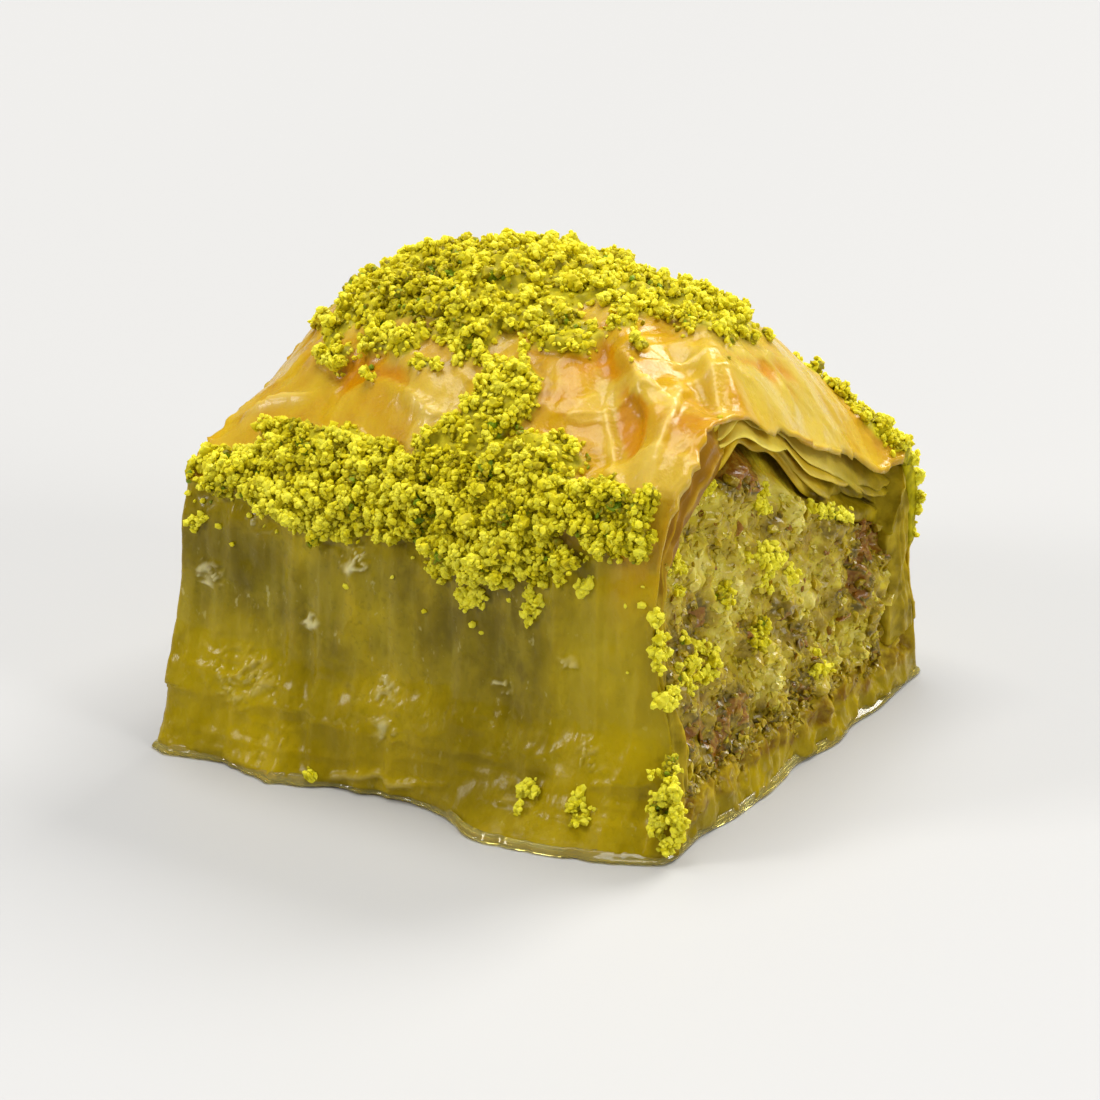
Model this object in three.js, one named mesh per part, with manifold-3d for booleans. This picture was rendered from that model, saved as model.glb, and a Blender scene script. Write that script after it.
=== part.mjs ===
// A cut square piece of pistachio baklava, in millimetres, +Z up, standing on z = 0.
//
// Three solids, stacked as the pastry is built:
//   base_pastry         the bottom sheets, soaked and spread into a stepped foot
//   pistachio_filling   the nut layer, which runs from one cut face (-X) to the other (+X)
//   top_pastry          the puffed upper sheets, which come down as a wall in front (-Y)
//                       and behind (+Y), with ground pistachio strewn on them
//
// X runs between the two cut faces and Y between the two pastry walls. The front right corner
// (+X, -Y) is the one that the descriptions below call near. The finished group is moved so
// that the middle of its footprint is the origin.
import * as THREE from "three";
import { mergeVertices } from "three/addons/utils/BufferGeometryUtils.js";
import Module from "manifold-3d";

// ---------------------------------------------------------------- driving dimensions
const FACE = { left: -24, right: 21.8 }; // the two cut faces, at the near corner's foot
const LEAN = { left: 0.9, frontRight: 2.6, backRight: 1.4 }; // how far a face leans in by the shoulder
const TURN = 1.4; // how far the right face is set back at the foot of the back wall
const WIDTH = 40; // between the walls
const BASE_TOP = 4.6; // top of the bottom sheets
const GAP = 0.3; // clearance between neighbouring solids
const MIDDLE = { x: -1.1, y: -1.2 }; // of the footprint with its foot, which becomes the origin

// Height of the shoulder, where a wall turns into the crown, at the four corners.
const SHOULDER = { frontLeft: 21.5, frontRight: 22.5, backRight: 19.0, backLeft: 20.5 };

// Sections of the crown from the left cut face to the right one: height of its ridge, where
// the ridge lies across the piece, and how steep the slopes are (0.5 is an ellipse, 1 a bell).
const STATIONS = [
  { x: -23, ridge: 28.5, apex: 1, front: 1.4, back: 0.8 },
  { x: -16, ridge: 33.4, apex: 1, front: 1.1, back: 0.7 },
  { x: -8, ridge: 35.8, apex: 0, front: 0.9, back: 0.6 },
  { x: 0, ridge: 36.2, apex: 0, front: 0.8, back: 0.6 },
  { x: 9, ridge: 35.0, apex: -1, front: 0.7, back: 0.65 },
  { x: 15, ridge: 33.6, apex: -4, front: 0.6, back: 0.8 },
  { x: 20, ridge: 31.6, apex: -9, front: 0.55, back: 1.0 },
];

// Creases and hollows of the crown: each runs straight, with a rise and a width.
const CREASES = [
  { from: [4, -1], to: [14, -12], rise: 1.0, width: 1.4 },
  { from: [7, -6], to: [13, -15], rise: -1.2, width: 1.7 },
  { from: [9, 3], to: [18, -5], rise: 0.8, width: 1.4 },
  { from: [10, -3], to: [18, -8], rise: -0.9, width: 1.4 },
  { from: [18.5, -1], to: [18.5, 13], rise: -2.6, width: 3 },
  { from: [-16, -9], to: [-6, -13], rise: 0.7, width: 1.6 },
  { from: [-21, -8], to: [-17, -2], rise: -0.7, width: 1.8 },
];

// Uneven waves, each a height and the distance over which it changes.
const CROWN_WAVES = [
  { height: 0.45, pitch: 6.3 },
  { height: 0.25, pitch: 3.3 },
];
const WALL_BULGE = { height: 0.45, pitch: 7.7 };
const WALL_DRAG = { height: 0.22, pitch: 1.4, length: 11 }; // marks that run down a wall
const FLARE = { reach: 1.4, height: 10 }; // how far a wall's foot spreads, and from what height
const ROUNDING = 0.6; // how far the skin is pulled in along the shoulder
const PINCH = 0.8; // how far the walls close in towards the cut faces

// The upper sheets, seen as steps at the cut faces.
const SHEETS = 3;
const TOP_PITCH = 1.5; // from sheet to sheet on the crown
const FRONT_PITCH = 0.6; // in the front wall
const BACK_PITCH = 1.1; // in the back wall
const FUSED = 1.35; // thickness in pitches where sheets are stuck together
const LIFTED = 0.6; // thickness in pitches where their edges stand apart
const LIFT_FROM = 0.77; // share of the half length from which they do
const SET_BACK = [0.0, 0.9, 0.2]; // how far each sheet ends inside the cut faces
const RAGGED = { wall: 0.25, crown: 0.9, pitch: 1 / 15 }; // unevenness of the sheets' ends
const SAG = { depth: 3.2, from: 13, to: 20, y: 8, width: 7 }; // inner sheets hang at the right face

// Where ground pistachio lies: each an ellipsoid of space, with how thickly it is strewn.
const PILES = [
  { at: [-7, 0, 36], size: [16, 12, 9], depth: 1.5 }, // crown
  { at: [8, 5, 35], size: [7.5, 6.5, 5], depth: 0.9 },
  { at: [2.5, -13, 31], size: [3.2, 4.5, 4.5], depth: 1.1 }, // bridge to the front band
  { at: [-11, -18.5, 24], size: [14, 4.4, 3.8], depth: 1.4 }, // front band
  { at: [5, -18, 24.5], size: [9.5, 4.6, 6.4], depth: 1.6 },
  { at: [14.5, -19.5, 22.5], size: [4.2, 4, 4.2], depth: 1.0 },
  { at: [8, 18.5, 22.5], size: [14, 4, 3.6], depth: 1.1 }, // back band
  { at: [-13, 19, 23], size: [9, 4, 3.2], depth: 0.9 },
  { at: [19, 20, 18], size: [3.5, 3, 6], depth: 1.3 }, // far right corner
];
const PILE_EDGE = { share: 0.35, pitch: 2 }; // how raggedly a pile ends
const PILE_LUMPS = { share: 0.5, pitch: 1.4 }; // how lumpy it is

// Single crumbs on top of the ground nuts and on the right cut face.
const CRUMB = { least: 0.75, greatest: 1.15, jitter: 0.44, rise: 0.25 };
const LID_CRUMBS = { count: 88, apart: 1.7, seed: 11 };
const FACE_CRUMBS = { count: 32, apart: 1.5, seed: 12 };
const CORNER_CRUMBS = { count: 6, apart: 1.2, seed: 13 }; // slid down the near corner, on each solid
const FACE_SPAN = { front: -16.5, back: 15, low: 6.1, high: 24.5 }; // of the crumbs on the right face
const FACE_STRAYS = 0.12; // share of the crumbs that lie outside the clusters
// Where crumbs have gathered on the right face.
const FACE_CLUSTERS = [
  { y: -14.5, z: 12.5, radius: 3.2 },
  { y: -9, z: 9, radius: 2.4 },
  { y: 0, z: 16.5, radius: 2.6 },
  { y: 4, z: 14, radius: 1.8 },
  { y: 11, z: 18.5, radius: 2.2 },
];

// The nut layer.
const FILLING_INSET = 0.8; // how far the nuts end inside the cut faces
const ROOF_GAP = 1.6; // how far they lie under the lid
const ROOF_STEP = 1.3; // how much further at the cut faces
const ROUGH = [
  { height: 0.8, pitch: 2.2 },
  { height: 0.5, pitch: 0.9 },
];

// The bottom sheets, lowest first: how far each spreads under the walls and at the cut faces,
// how unevenly, and how far it runs out as a lobe in front.
const FOOT = [
  { walls: 2.3, faces: 0.3, wave: 1.2, lobe: 3.8 },
  { walls: 1.8, faces: 0.2, wave: 0.7, lobe: 1.6 },
  { walls: 1.5, faces: 0.0, wave: 0.3, lobe: 0.2 },
];
const FOOT_EDGE = 0.9; // thickness of a bottom sheet at its edge
const FOOT_SLANT = 0.6; // how much less a bottom sheet spreads at its top than underneath
const LOBE = { x: 11, run: 8 };

const HALF_W = WIDTH / 2;

// ---------------------------------------------------------------- small helpers
const clamp01 = (t) => Math.min(1, Math.max(0, t));
const mix = (a, b, t) => a + (b - a) * t;
const fade = (t) => t * t * (3 - 2 * t);
const smooth = (from, to, t) => fade(clamp01((t - from) / (to - from)));

// A repeatable number in 0..1 for a lattice point.
function lattice(ix, iy, iz) {
  let h = Math.imul(ix, 374761393) + Math.imul(iy, 668265263) + Math.imul(iz, 1274126177);
  h = Math.imul(h ^ (h >>> 13), 1103515245);
  h = Math.imul(h ^ (h >>> 16), 1540483477);
  return ((h ^ (h >>> 15)) >>> 0) / 4294967296;
}

// Smooth value noise in -1..1.
function noise(x, y, z) {
  const [ix, iy, iz] = [Math.floor(x), Math.floor(y), Math.floor(z)];
  const [fx, fy, fz] = [fade(x - ix), fade(y - iy), fade(z - iz)];
  let sum = 0;
  for (let corner = 0; corner < 8; corner++) {
    const [dx, dy, dz] = [corner & 1, (corner >> 1) & 1, corner >> 2];
    const weight = (dx ? fx : 1 - fx) * (dy ? fy : 1 - fy) * (dz ? fz : 1 - fz);
    sum += weight * lattice(ix + dx, iy + dy, iz + dz);
  }
  return 2 * sum - 1;
}

// A seeded stream of numbers in 0..1.
function stream(seed) {
  let state = seed;
  return () => {
    state = (state + 0x6d2b79f5) | 0;
    let t = Math.imul(state ^ (state >>> 15), 1 | state);
    t = (t + Math.imul(t ^ (t >>> 7), 61 | t)) ^ t;
    return ((t ^ (t >>> 14)) >>> 0) / 4294967296;
  };
}

// ---------------------------------------------------------------- the loaf's outer form
// Position of a cut face: side is -1 on the left, 1 on the right.
function faceX(side, y, z) {
  const lean = smooth(0, SHOULDER.frontRight, z);
  const back = clamp01((y + HALF_W) / WIDTH);
  if (side < 0) return FACE.left + LEAN.left * lean;
  return FACE.right - mix(TURN * back, mix(LEAN.frontRight, LEAN.backRight, back), lean);
}

const lengthShare = (x) => clamp01((x - FACE.left) / (FACE.right - FACE.left));

function shoulderHeight(x, y) {
  const front = mix(SHOULDER.frontLeft, SHOULDER.frontRight, lengthShare(x));
  const back = mix(SHOULDER.backLeft, SHOULDER.backRight, lengthShare(x));
  return mix(front, back, clamp01((y + HALF_W) / WIDTH));
}

// One value of the crown's sections at x, on a smooth curve through the stations.
function station(x, key) {
  const last = STATIONS.length - 1;
  let i = 0;
  while (i < last - 1 && x > STATIONS[i + 1].x) i++;
  const slope = (n) => {
    const [p, q] = [STATIONS[Math.max(0, n - 1)], STATIONS[Math.min(last, n + 1)]];
    return (q[key] - p[key]) / (q.x - p.x);
  };
  const [from, to] = [STATIONS[i], STATIONS[i + 1]];
  const run = to.x - from.x;
  const t = clamp01((x - from.x) / run);
  const bend = t * (1 - t) * run;
  return mix(from[key], to[key], fade(t)) + bend * ((1 - t) * slope(i) - t * slope(i + 1));
}

function creaseRelief(x, y) {
  let sum = 0;
  for (const { from, to, rise, width } of CREASES) {
    const [dx, dy] = [to[0] - from[0], to[1] - from[1]];
    const along = clamp01(((x - from[0]) * dx + (y - from[1]) * dy) / (dx * dx + dy * dy));
    const away = Math.hypot(x - from[0] - along * dx, y - from[1] - along * dy);
    // a crease deepens along its first half
    sum += rise * Math.exp(-((away / width) ** 2)) * mix(0.35, 1, smooth(0, 0.5, along));
  }
  return sum;
}

// How far the inner sheets hang down at the back of the right face.
const sag = (x, y) => SAG.depth * smooth(SAG.from, SAG.to, x) * Math.exp(-(((y - SAG.y) / SAG.width) ** 2));

// Half the width across Y at a depth counted in sheets inwards from the outer skin.
function halfWidth(x, side, depth) {
  const pinch = PINCH * Math.abs(2 * lengthShare(x) - 1) ** 6;
  return HALF_W - pinch - depth * (side < 0 ? FRONT_PITCH : BACK_PITCH);
}

// Height of the crown over a point, with out = y as a share of the half width there.
function crownHeight(x, out, depth) {
  const y = out * halfWidth(x, out, depth);
  const apex = station(x, "apex") / HALF_W;
  const away = out < apex ? (apex - out) / (1 + apex) : (out - apex) / (1 - apex);
  const up = Math.max(0, 1 - away * away) ** station(x, out < apex ? "front" : "back");
  let relief = creaseRelief(x, y);
  CROWN_WAVES.forEach(({ height, pitch }, i) => {
    relief += height * noise(x / pitch, y / pitch, 5 + i);
  });
  const shoulder = shoulderHeight(x, y);
  const inwards = depth * (TOP_PITCH + sag(x, y) / SHEETS);
  return mix(shoulder, station(x, "ridge"), up) + relief * Math.sqrt(up) - inwards;
}

// How far a wall stands out: soft bulges, marks dragged down it and a flare at its foot.
function wallRelief(x, z, side) {
  const layer = side < 0 ? 0 : 9;
  const bulge = WALL_BULGE.height * noise(x / WALL_BULGE.pitch, z / WALL_BULGE.pitch, layer + 1);
  const drag = WALL_DRAG.height * noise(x / WALL_DRAG.pitch, z / WALL_DRAG.length, layer + 3);
  return bulge + drag + FLARE.reach * smooth(FLARE.height, BASE_TOP, z);
}

const WALL_STEPS = 9; // steps up a wall
const CROWN_STEPS = 24; // steps over the crown
const WALL_SHARE = WALL_STEPS / (2 * WALL_STEPS + CROWN_STEPS);

// A point of the section across Y: s runs 0..1 up the front wall, over the crown and down the
// back wall; reach runs -1..1 between the cut faces and end is how far the sheet passes them.
function section(reach, s, depth, end) {
  const onSkin = 1 - Math.min(1, depth / SHEETS);
  const side = s < 0.5 ? -1 : 1;
  const onWall = s < WALL_SHARE || s > 1 - WALL_SHARE;
  const rise = onWall ? (s < 0.5 ? s : 1 - s) / WALL_SHARE : 1;
  const turn = (clamp01((s - WALL_SHARE) / (1 - 2 * WALL_SHARE)) - 0.5) * Math.PI;
  const out = Math.sin(turn);
  const height = mix(BASE_TOP, side < 0 ? SHOULDER.frontRight : SHOULDER.backRight, rise);
  const [left, right] = [faceX(-1, out * HALF_W, height) - end, faceX(1, out * HALF_W, height) + end];
  const x = mix(left, right, (reach + 1) / 2);
  const shoulder = shoulderHeight(x, side * HALF_W);
  if (onWall) {
    const z = mix(BASE_TOP, shoulder - depth * TOP_PITCH, rise);
    const relief = wallRelief(x, z, side) - ROUNDING * smooth(0.8, 1, rise);
    return new THREE.Vector3(x, side * (halfWidth(x, side, depth) + relief * onSkin), z);
  }
  // the wall's relief fades out over the crown
  const relief = (wallRelief(x, shoulder, side) - ROUNDING) * (1 - Math.cos(turn)) * onSkin;
  return new THREE.Vector3(x, out * halfWidth(x, side, depth) + side * relief, crownHeight(x, out, depth));
}

// ---------------------------------------------------------------- ground pistachio
// How deep the ground nuts lie at a point of the skin.
function pile(p) {
  let deep = 0;
  const ragged = PILE_EDGE.share * noise(p.x / PILE_EDGE.pitch, p.y / PILE_EDGE.pitch, p.z / PILE_EDGE.pitch);
  for (const { at, size, depth } of PILES) {
    const away = Math.hypot((p.x - at[0]) / size[0], (p.y - at[1]) / size[1], (p.z - at[2]) / size[2]);
    deep = Math.max(deep, depth * smooth(1.1, 0.7, away + ragged));
  }
  const lumps = noise(p.x / PILE_LUMPS.pitch + 9, p.y / PILE_LUMPS.pitch, p.z / PILE_LUMPS.pitch);
  return deep * (0.75 + PILE_LUMPS.share * lumps);
}

// The way out of the pastry at a point of its skin: level on the walls, upwards on the crown.
function outward(p) {
  const tilt = clamp01((p.z - shoulderHeight(p.x, p.y)) / 8);
  const out = clamp01(Math.abs(p.y) / HALF_W) ** (1 + 2 * tilt);
  return new THREE.Vector3(0, Math.sign(p.y) * out, Math.sqrt(1 - out * out) * tilt).normalize();
}

const strewn = (p) => p.clone().addScaledVector(outward(p), pile(p));

// ---------------------------------------------------------------- meshes and solids
// A box of unit size with its faces divided, each vertex then moved to place(a, b, c), a..c in 0..1.
function shapedBox(segments, place) {
  const box = new THREE.BoxGeometry(1, 1, 1, ...segments);
  box.deleteAttribute("normal");
  box.deleteAttribute("uv");
  const geometry = mergeVertices(box, 1e-5);
  const position = geometry.getAttribute("position");
  for (let i = 0; i < position.count; i++) {
    const p = place(position.getX(i) + 0.5, position.getY(i) + 0.5, position.getZ(i) + 0.5);
    position.setXYZ(i, p.x, p.y, p.z);
  }
  return geometry;
}

const wasm = await Module();
wasm.setup();

function toSolid(geometry) {
  const solid = new wasm.Manifold(
    new wasm.Mesh({
      numProp: 3,
      vertProperties: geometry.getAttribute("position").array,
      triVerts: new Uint32Array(geometry.index.array),
    }),
  );
  if (solid.volume() > 0) return solid;
  // the placing mirrored the box, so its faces are turned round
  const turned = geometry.clone();
  const index = turned.index.array;
  for (let i = 0; i < index.length; i += 3) [index[i + 1], index[i + 2]] = [index[i + 2], index[i + 1]];
  return toSolid(turned);
}

function toGeometry(solid) {
  const mesh = solid.getMesh();
  const geometry = new THREE.BufferGeometry();
  geometry.setAttribute("position", new THREE.BufferAttribute(mesh.vertProperties, 3));
  geometry.setIndex(new THREE.BufferAttribute(mesh.triVerts, 1));
  return geometry;
}

const SIMPLER = 0.02; // detail below this is dropped

// Everything joined, with loose scraps dropped and sealed hollows filled.
function fuse(solids) {
  const joined = wasm.Manifold.union(solids).simplify(SIMPLER);
  return joined.decompose().reduce((a, b) => (b.volume() > a.volume() ? b : a));
}

// ---------------------------------------------------------------- upper sheets
const LID_RUN = 2 * WALL_STEPS + CROWN_STEPS; // steps along the section
const LID_LONG = 20; // steps between the cut faces

// 1 on the crown, 0 on the walls.
const onCrown = (s) => smooth(WALL_SHARE, WALL_SHARE + 0.1, s) * smooth(1 - WALL_SHARE, 0.9 - WALL_SHARE, s);

// How far sheet k passes the cut face on that side.
function overhang(k, s, side) {
  const uneven = mix(RAGGED.wall, RAGGED.crown, onCrown(s));
  return uneven * noise(s / RAGGED.pitch + k * 5.3, k * 3.1, side * 4) - SET_BACK[k] * onCrown(s);
}

function sheet(k) {
  return shapedBox([LID_LONG, LID_RUN, 1], (a, s, c) => {
    const reach = 2 * a - 1;
    const end = overhang(k, s, reach < 0 ? -1 : 1) * Math.abs(reach) ** 4;
    const lifted = smooth(LIFT_FROM, 0.95, Math.abs(reach)) * onCrown(s);
    const innermost = k === SHEETS - 1;
    const thickness = mix(innermost ? 1 : FUSED, LIFTED, lifted);
    const p = section(reach, s, k + c * thickness, end);
    const isSkin = k === 0 && c === 0;
    return isSkin ? strewn(p) : p;
  });
}

function upperSheets() {
  const solids = [];
  for (let k = 0; k < SHEETS; k++) solids.push(toSolid(sheet(k)));
  return fuse(solids);
}

// ---------------------------------------------------------------- nut layer
// As wide as the lid's inside, with rough broken ends.
function nutLayer() {
  const box = shapedBox([8, 16, 12], (a, b, c) => {
    const side = Math.sign(2 * a - 1);
    const reach = side * (1 - (1 - Math.abs(2 * a - 1)) ** 2); // finer steps near the faces
    const out = 2 * b - 1;
    const y0 = out * HALF_W;
    const between = (z) =>
      mix(faceX(-1, y0, z) + FILLING_INSET, faceX(1, y0, z) - FILLING_INSET, (reach + 1) / 2);
    const hollow = ROOF_STEP * smooth(0.75, 0.93, Math.abs(reach)) * (1 - out * out);
    const roof = crownHeight(between(SHOULDER.frontRight), out, SHEETS) - ROOF_GAP - hollow;
    const z = mix(BASE_TOP, Math.max(roof, BASE_TOP + 1), c);
    const y = out * (halfWidth(between(z), out, SHEETS) - GAP);
    const atFace = Math.abs(reach) ** 12;
    let rough = 0;
    ROUGH.forEach(({ height, pitch }, i) => {
      rough += height * noise(y / pitch, z / pitch, side * (2 + i));
    });
    return new THREE.Vector3(between(z) + side * atFace * rough, y, z);
  });
  return toSolid(box);
}

// ---------------------------------------------------------------- bottom sheets
function footSheet(k, floor, thickness) {
  const { walls, faces, wave, lobe } = FOOT[k];
  const box = shapedBox([24, 20, 1], (a, b, c) => {
    const [p, q] = [2 * a - 1, 2 * b - 1];
    const [atFace, atWall] = [Math.abs(p) ** 8, Math.abs(q) ** 8]; // 1 at the rim, soon 0 inwards
    const y0 = q * HALF_W;
    const x0 = mix(faceX(-1, y0, 0), faceX(1, y0, 0), a);
    const outX = faces + 0.4 * wave * noise(y0 / 5, Math.sign(p) * 5, k * 3) - c * FOOT_SLANT / 2;
    const outY = walls + wave * noise(x0 / 6, Math.sign(q) * 7, k * 3) - c * FOOT_SLANT;
    const front = lobe * Math.exp(-(((x0 - LOBE.x) / LOBE.run) ** 2)) * (q < 0 ? atWall : 0);
    const rounding = 1 - 0.03 * Math.abs(p * q) ** 6; // of the corners
    const x = (x0 + Math.sign(p) * atFace * outX) * rounding;
    const y = (y0 + Math.sign(q) * atWall * outY - front) * rounding;
    const top = floor + mix(thickness, FOOT_EDGE, smooth(0.93, 1, Math.abs(q)));
    const sunk = Math.max(0, floor - FOOT_EDGE / 2); // into the sheet below
    return new THREE.Vector3(x, y, c > 0.5 ? top : sunk);
  });
  return toSolid(box);
}

function bottomSheets() {
  const thickness = (BASE_TOP - GAP) / FOOT.length;
  return fuse(FOOT.map((_, k) => footSheet(k, k * thickness, thickness)));
}

// ---------------------------------------------------------------- crumbs
// One crumb: a jittered icosahedron.
function crumb(centre, radius, random) {
  const round = new THREE.IcosahedronGeometry(radius, 0);
  round.deleteAttribute("normal");
  round.deleteAttribute("uv");
  const geometry = mergeVertices(round, radius * 1e-3);
  const spin = new THREE.Euler(random() * 2 * Math.PI, random() * 2 * Math.PI, random() * 2 * Math.PI);
  const position = geometry.getAttribute("position");
  const p = new THREE.Vector3();
  for (let i = 0; i < position.count; i++) {
    p.fromBufferAttribute(position, i).multiplyScalar(1 + CRUMB.jitter * (random() - 0.5));
    p.applyEuler(spin).add(centre);
    position.setXYZ(i, p.x, p.y, p.z);
  }
  return toSolid(geometry);
}

// Crumbs at random spots: draw(random) gives a spot or null, and a crumb is kept where it lies
// apart from those before it and clear of the neighbouring solids.
function scatter({ count, apart, seed }, draw, neighbours) {
  const random = stream(seed);
  const spots = [];
  const crumbs = [];
  for (let tries = 0; tries < 40 * count && crumbs.length < count; tries++) {
    const spot = draw(random);
    if (!spot || spots.some((other) => other.distanceTo(spot) < apart)) continue;
    const made = crumb(spot, mix(CRUMB.least, CRUMB.greatest, random()), random);
    if (neighbours.some((solid) => made.minGap(solid, 2 * GAP) < GAP)) continue;
    spots.push(spot);
    crumbs.push(made);
  }
  return crumbs;
}

// A spot on the strewn parts of the skin.
function spotOnSkin(random) {
  const p = section(2 * random() - 1, random(), 0, 0);
  const deep = pile(p);
  if (deep < mix(0.35, 0.85, random())) return null;
  return p.addScaledVector(outward(p), deep + CRUMB.rise);
}

// A spot on the nuts of the right face, most of them where crumbs have gathered.
function spotOnFace(random) {
  const y = mix(FACE_SPAN.front, FACE_SPAN.back, random());
  const z = mix(FACE_SPAN.low, FACE_SPAN.high, random());
  const gathered = FACE_CLUSTERS.some((c) => Math.hypot(y - c.y, z - c.z) < c.radius);
  if (!gathered && random() > FACE_STRAYS) return null;
  return new THREE.Vector3(faceX(1, y, z) - FILLING_INSET, y, z);
}

// A spot on the near corner between two heights, lying out beyond the front wall.
const spotOnCorner = (low, high, out) => (random) => {
  const z = mix(low, high, random());
  return new THREE.Vector3(faceX(1, -HALF_W, z) + mix(-1.8, 0.3, random()), -HALF_W - out, z);
};

// ---------------------------------------------------------------- the piece
const base = bottomSheets();
const nuts = nutLayer();
const lid = upperSheets();
const footCrumbs = scatter(CORNER_CRUMBS, spotOnCorner(1.4, 3, 2.1), [lid, nuts]);
const cornerCrumbs = scatter(CORNER_CRUMBS, spotOnCorner(6.5, 9.5, 0.7), [nuts, base, ...footCrumbs]);
const solids = {
  base_pastry: fuse([base, ...footCrumbs]),
  pistachio_filling: fuse([nuts, ...scatter(FACE_CRUMBS, spotOnFace, [lid, base])]),
  top_pastry: fuse([lid, ...scatter(LID_CRUMBS, spotOnSkin, [nuts, base]), ...cornerCrumbs]),
};
const looks = {
  base_pastry: { color: 0xa8912a, roughness: 0.35 },
  pistachio_filling: { color: 0x8a7d2e, roughness: 0.55 },
  top_pastry: { color: 0xd9a441, roughness: 0.35 },
};

const group = new THREE.Group();
for (const [name, solid] of Object.entries(solids)) {
  const mesh = new THREE.Mesh(toGeometry(solid), new THREE.MeshStandardMaterial(looks[name]));
  mesh.name = name;
  mesh.position.set(-MIDDLE.x, -MIDDLE.y, 0);
  group.add(mesh);
}

export default group;
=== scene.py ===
"""A square-cut piece of pistachio baklava: the looks of the part.

The forms are worked out in millimetres, in the frame of the solids before they are centred, and
every mesh is moved by MIDDLE and scaled to metres when it is made.
"""
import math

import bpy
import numpy as np
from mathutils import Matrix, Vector


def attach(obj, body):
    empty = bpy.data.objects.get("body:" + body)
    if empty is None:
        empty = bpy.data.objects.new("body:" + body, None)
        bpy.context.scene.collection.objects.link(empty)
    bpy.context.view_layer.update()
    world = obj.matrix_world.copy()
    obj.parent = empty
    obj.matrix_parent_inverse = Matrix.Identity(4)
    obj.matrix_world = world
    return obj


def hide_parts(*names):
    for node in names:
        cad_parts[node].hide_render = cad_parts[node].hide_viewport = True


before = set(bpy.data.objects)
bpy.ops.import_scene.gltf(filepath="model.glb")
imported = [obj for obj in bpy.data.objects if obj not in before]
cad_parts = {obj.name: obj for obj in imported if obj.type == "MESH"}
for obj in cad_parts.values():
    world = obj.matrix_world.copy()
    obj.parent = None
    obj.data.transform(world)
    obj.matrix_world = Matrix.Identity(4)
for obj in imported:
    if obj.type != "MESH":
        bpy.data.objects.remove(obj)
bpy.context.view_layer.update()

MM = 0.001

# ---- sizes shared with the solids
FACE_LEFT, FACE_RIGHT = -24.0, 21.8  # the two cut faces at the near corner's foot
LEAN_LEFT, LEAN_FRONT_RIGHT, LEAN_BACK_RIGHT = 0.9, 2.6, 1.4
TURN = 1.4  # how far the right face is set back at the foot of the back wall
WIDTH = 40.0
HALF_W = WIDTH / 2
BASE_TOP = 4.6
MIDDLE = np.array([-1.1, -1.2, 0.0])  # of the footprint
SHOULDER = {"front_left": 21.5, "front_right": 22.5, "back_right": 19.0, "back_left": 20.5}

# Sections of the crown along X: position, ridge height, where the ridge lies across the piece,
# and the steepness of the front and back slopes.
STATION_X = np.array([-23.0, -16.0, -8.0, 0.0, 9.0, 15.0, 20.0])
STATIONS = {
    "ridge": np.array([28.5, 33.4, 35.8, 36.2, 35.0, 33.6, 31.6]),
    "apex": np.array([1.0, 1.0, 0.0, 0.0, -1.0, -4.0, -9.0]),
    "front": np.array([1.4, 1.1, 0.9, 0.8, 0.7, 0.6, 0.55]),
    "back": np.array([0.8, 0.7, 0.6, 0.6, 0.65, 0.8, 1.0]),
}
# Creases of the crown: from, to, rise, width.
CREASES = [
    ((4, -1), (14, -12), 1, 1.4), ((7, -6), (13, -15), -1.2, 1.7), ((9, 3), (18, -5), 0.8, 1.4),
    ((10, -3), (18, -8), -0.9, 1.4), ((18.5, -1), (18.5, 13), -2.6, 3),
    ((-16, -9), (-6, -13), 0.7, 1.6), ((-21, -8), (-17, -2), -0.7, 1.8),
]
CROWN_WAVES = [(0.45, 6.3), (0.25, 3.3)]
SHEETS = 3
TOP_PITCH, FRONT_PITCH, BACK_PITCH = 1.5, 0.6, 1.1
WALL_SHARE = 9 / 42  # share of the section's run that a wall takes
ROUNDING = 0.6
PINCH = 0.8
SAG, SAG_Y, SAG_RUN = 3.2, 8, 7

# Where ground pistachio lies: centre, reach and depth. As in the solids, but for the right end of
# the band in front, which is drawn in to bare the corner.
PILES = [
    ((-7, 0, 36), (16, 12, 9), 1.5), ((8, 5, 35), (7.5, 6.5, 5), 0.9),
    ((2.5, -13, 31), (3.2, 4.5, 4.5), 1.1), ((-11, -18.5, 24), (14, 4.4, 3.8), 1.4),
    ((4, -18, 25.4), (9.2, 4.6, 6), 1.6), ((14.4, -18.9, 25.8), (4.4, 3.1, 2.9), 1),
    ((8, 18.5, 22.5), (14, 4, 3.6), 1.1), ((-13, 19, 23), (9, 4, 3.2), 0.9),
    ((19, 20, 18), (3.5, 3, 6), 1.3),
]
FILLING_INSET = 0.8
ROOF_GAP, ROOF_STEP = 1.6, 1.3
ROOF_LIFT, HOLLOW_DEPTH = 1.2, 1.3  # the nuts lie higher, with a deeper hollow, than in the solids

# The foot: spread under the walls and at the faces, unevenness, and the lobe in front.
FOOT_SPREAD, FOOT_AT_FACES, FOOT_WAVE = 2.3, 0.3, 1.2
LOBE, LOBE_X, LOBE_RUN = 3.8, 11.0, 8.0
FLARE = 1.4  # how far a wall's foot spreads


# ---- numbers
def mix(a, b, t):
    return a + (b - a) * t


def fade(t):
    return t * t * (3 - 2 * t)


def smooth(low, high, t):
    return fade(np.clip((t - low) / (high - low), 0, 1))


def lattice(ix, iy, iz):
    """A repeatable number in 0..1 for each lattice point."""
    h = (ix * 374761393 + iy * 668265263 + iz * 1274126177) & 0xFFFFFFFF
    h = h.astype(np.uint32)
    h = (h ^ (h >> np.uint32(13))) * np.uint32(1103515245)
    h = (h ^ (h >> np.uint32(16))) * np.uint32(1540483477)
    return (h ^ (h >> np.uint32(15))).astype(np.float64) / 4294967296


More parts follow.
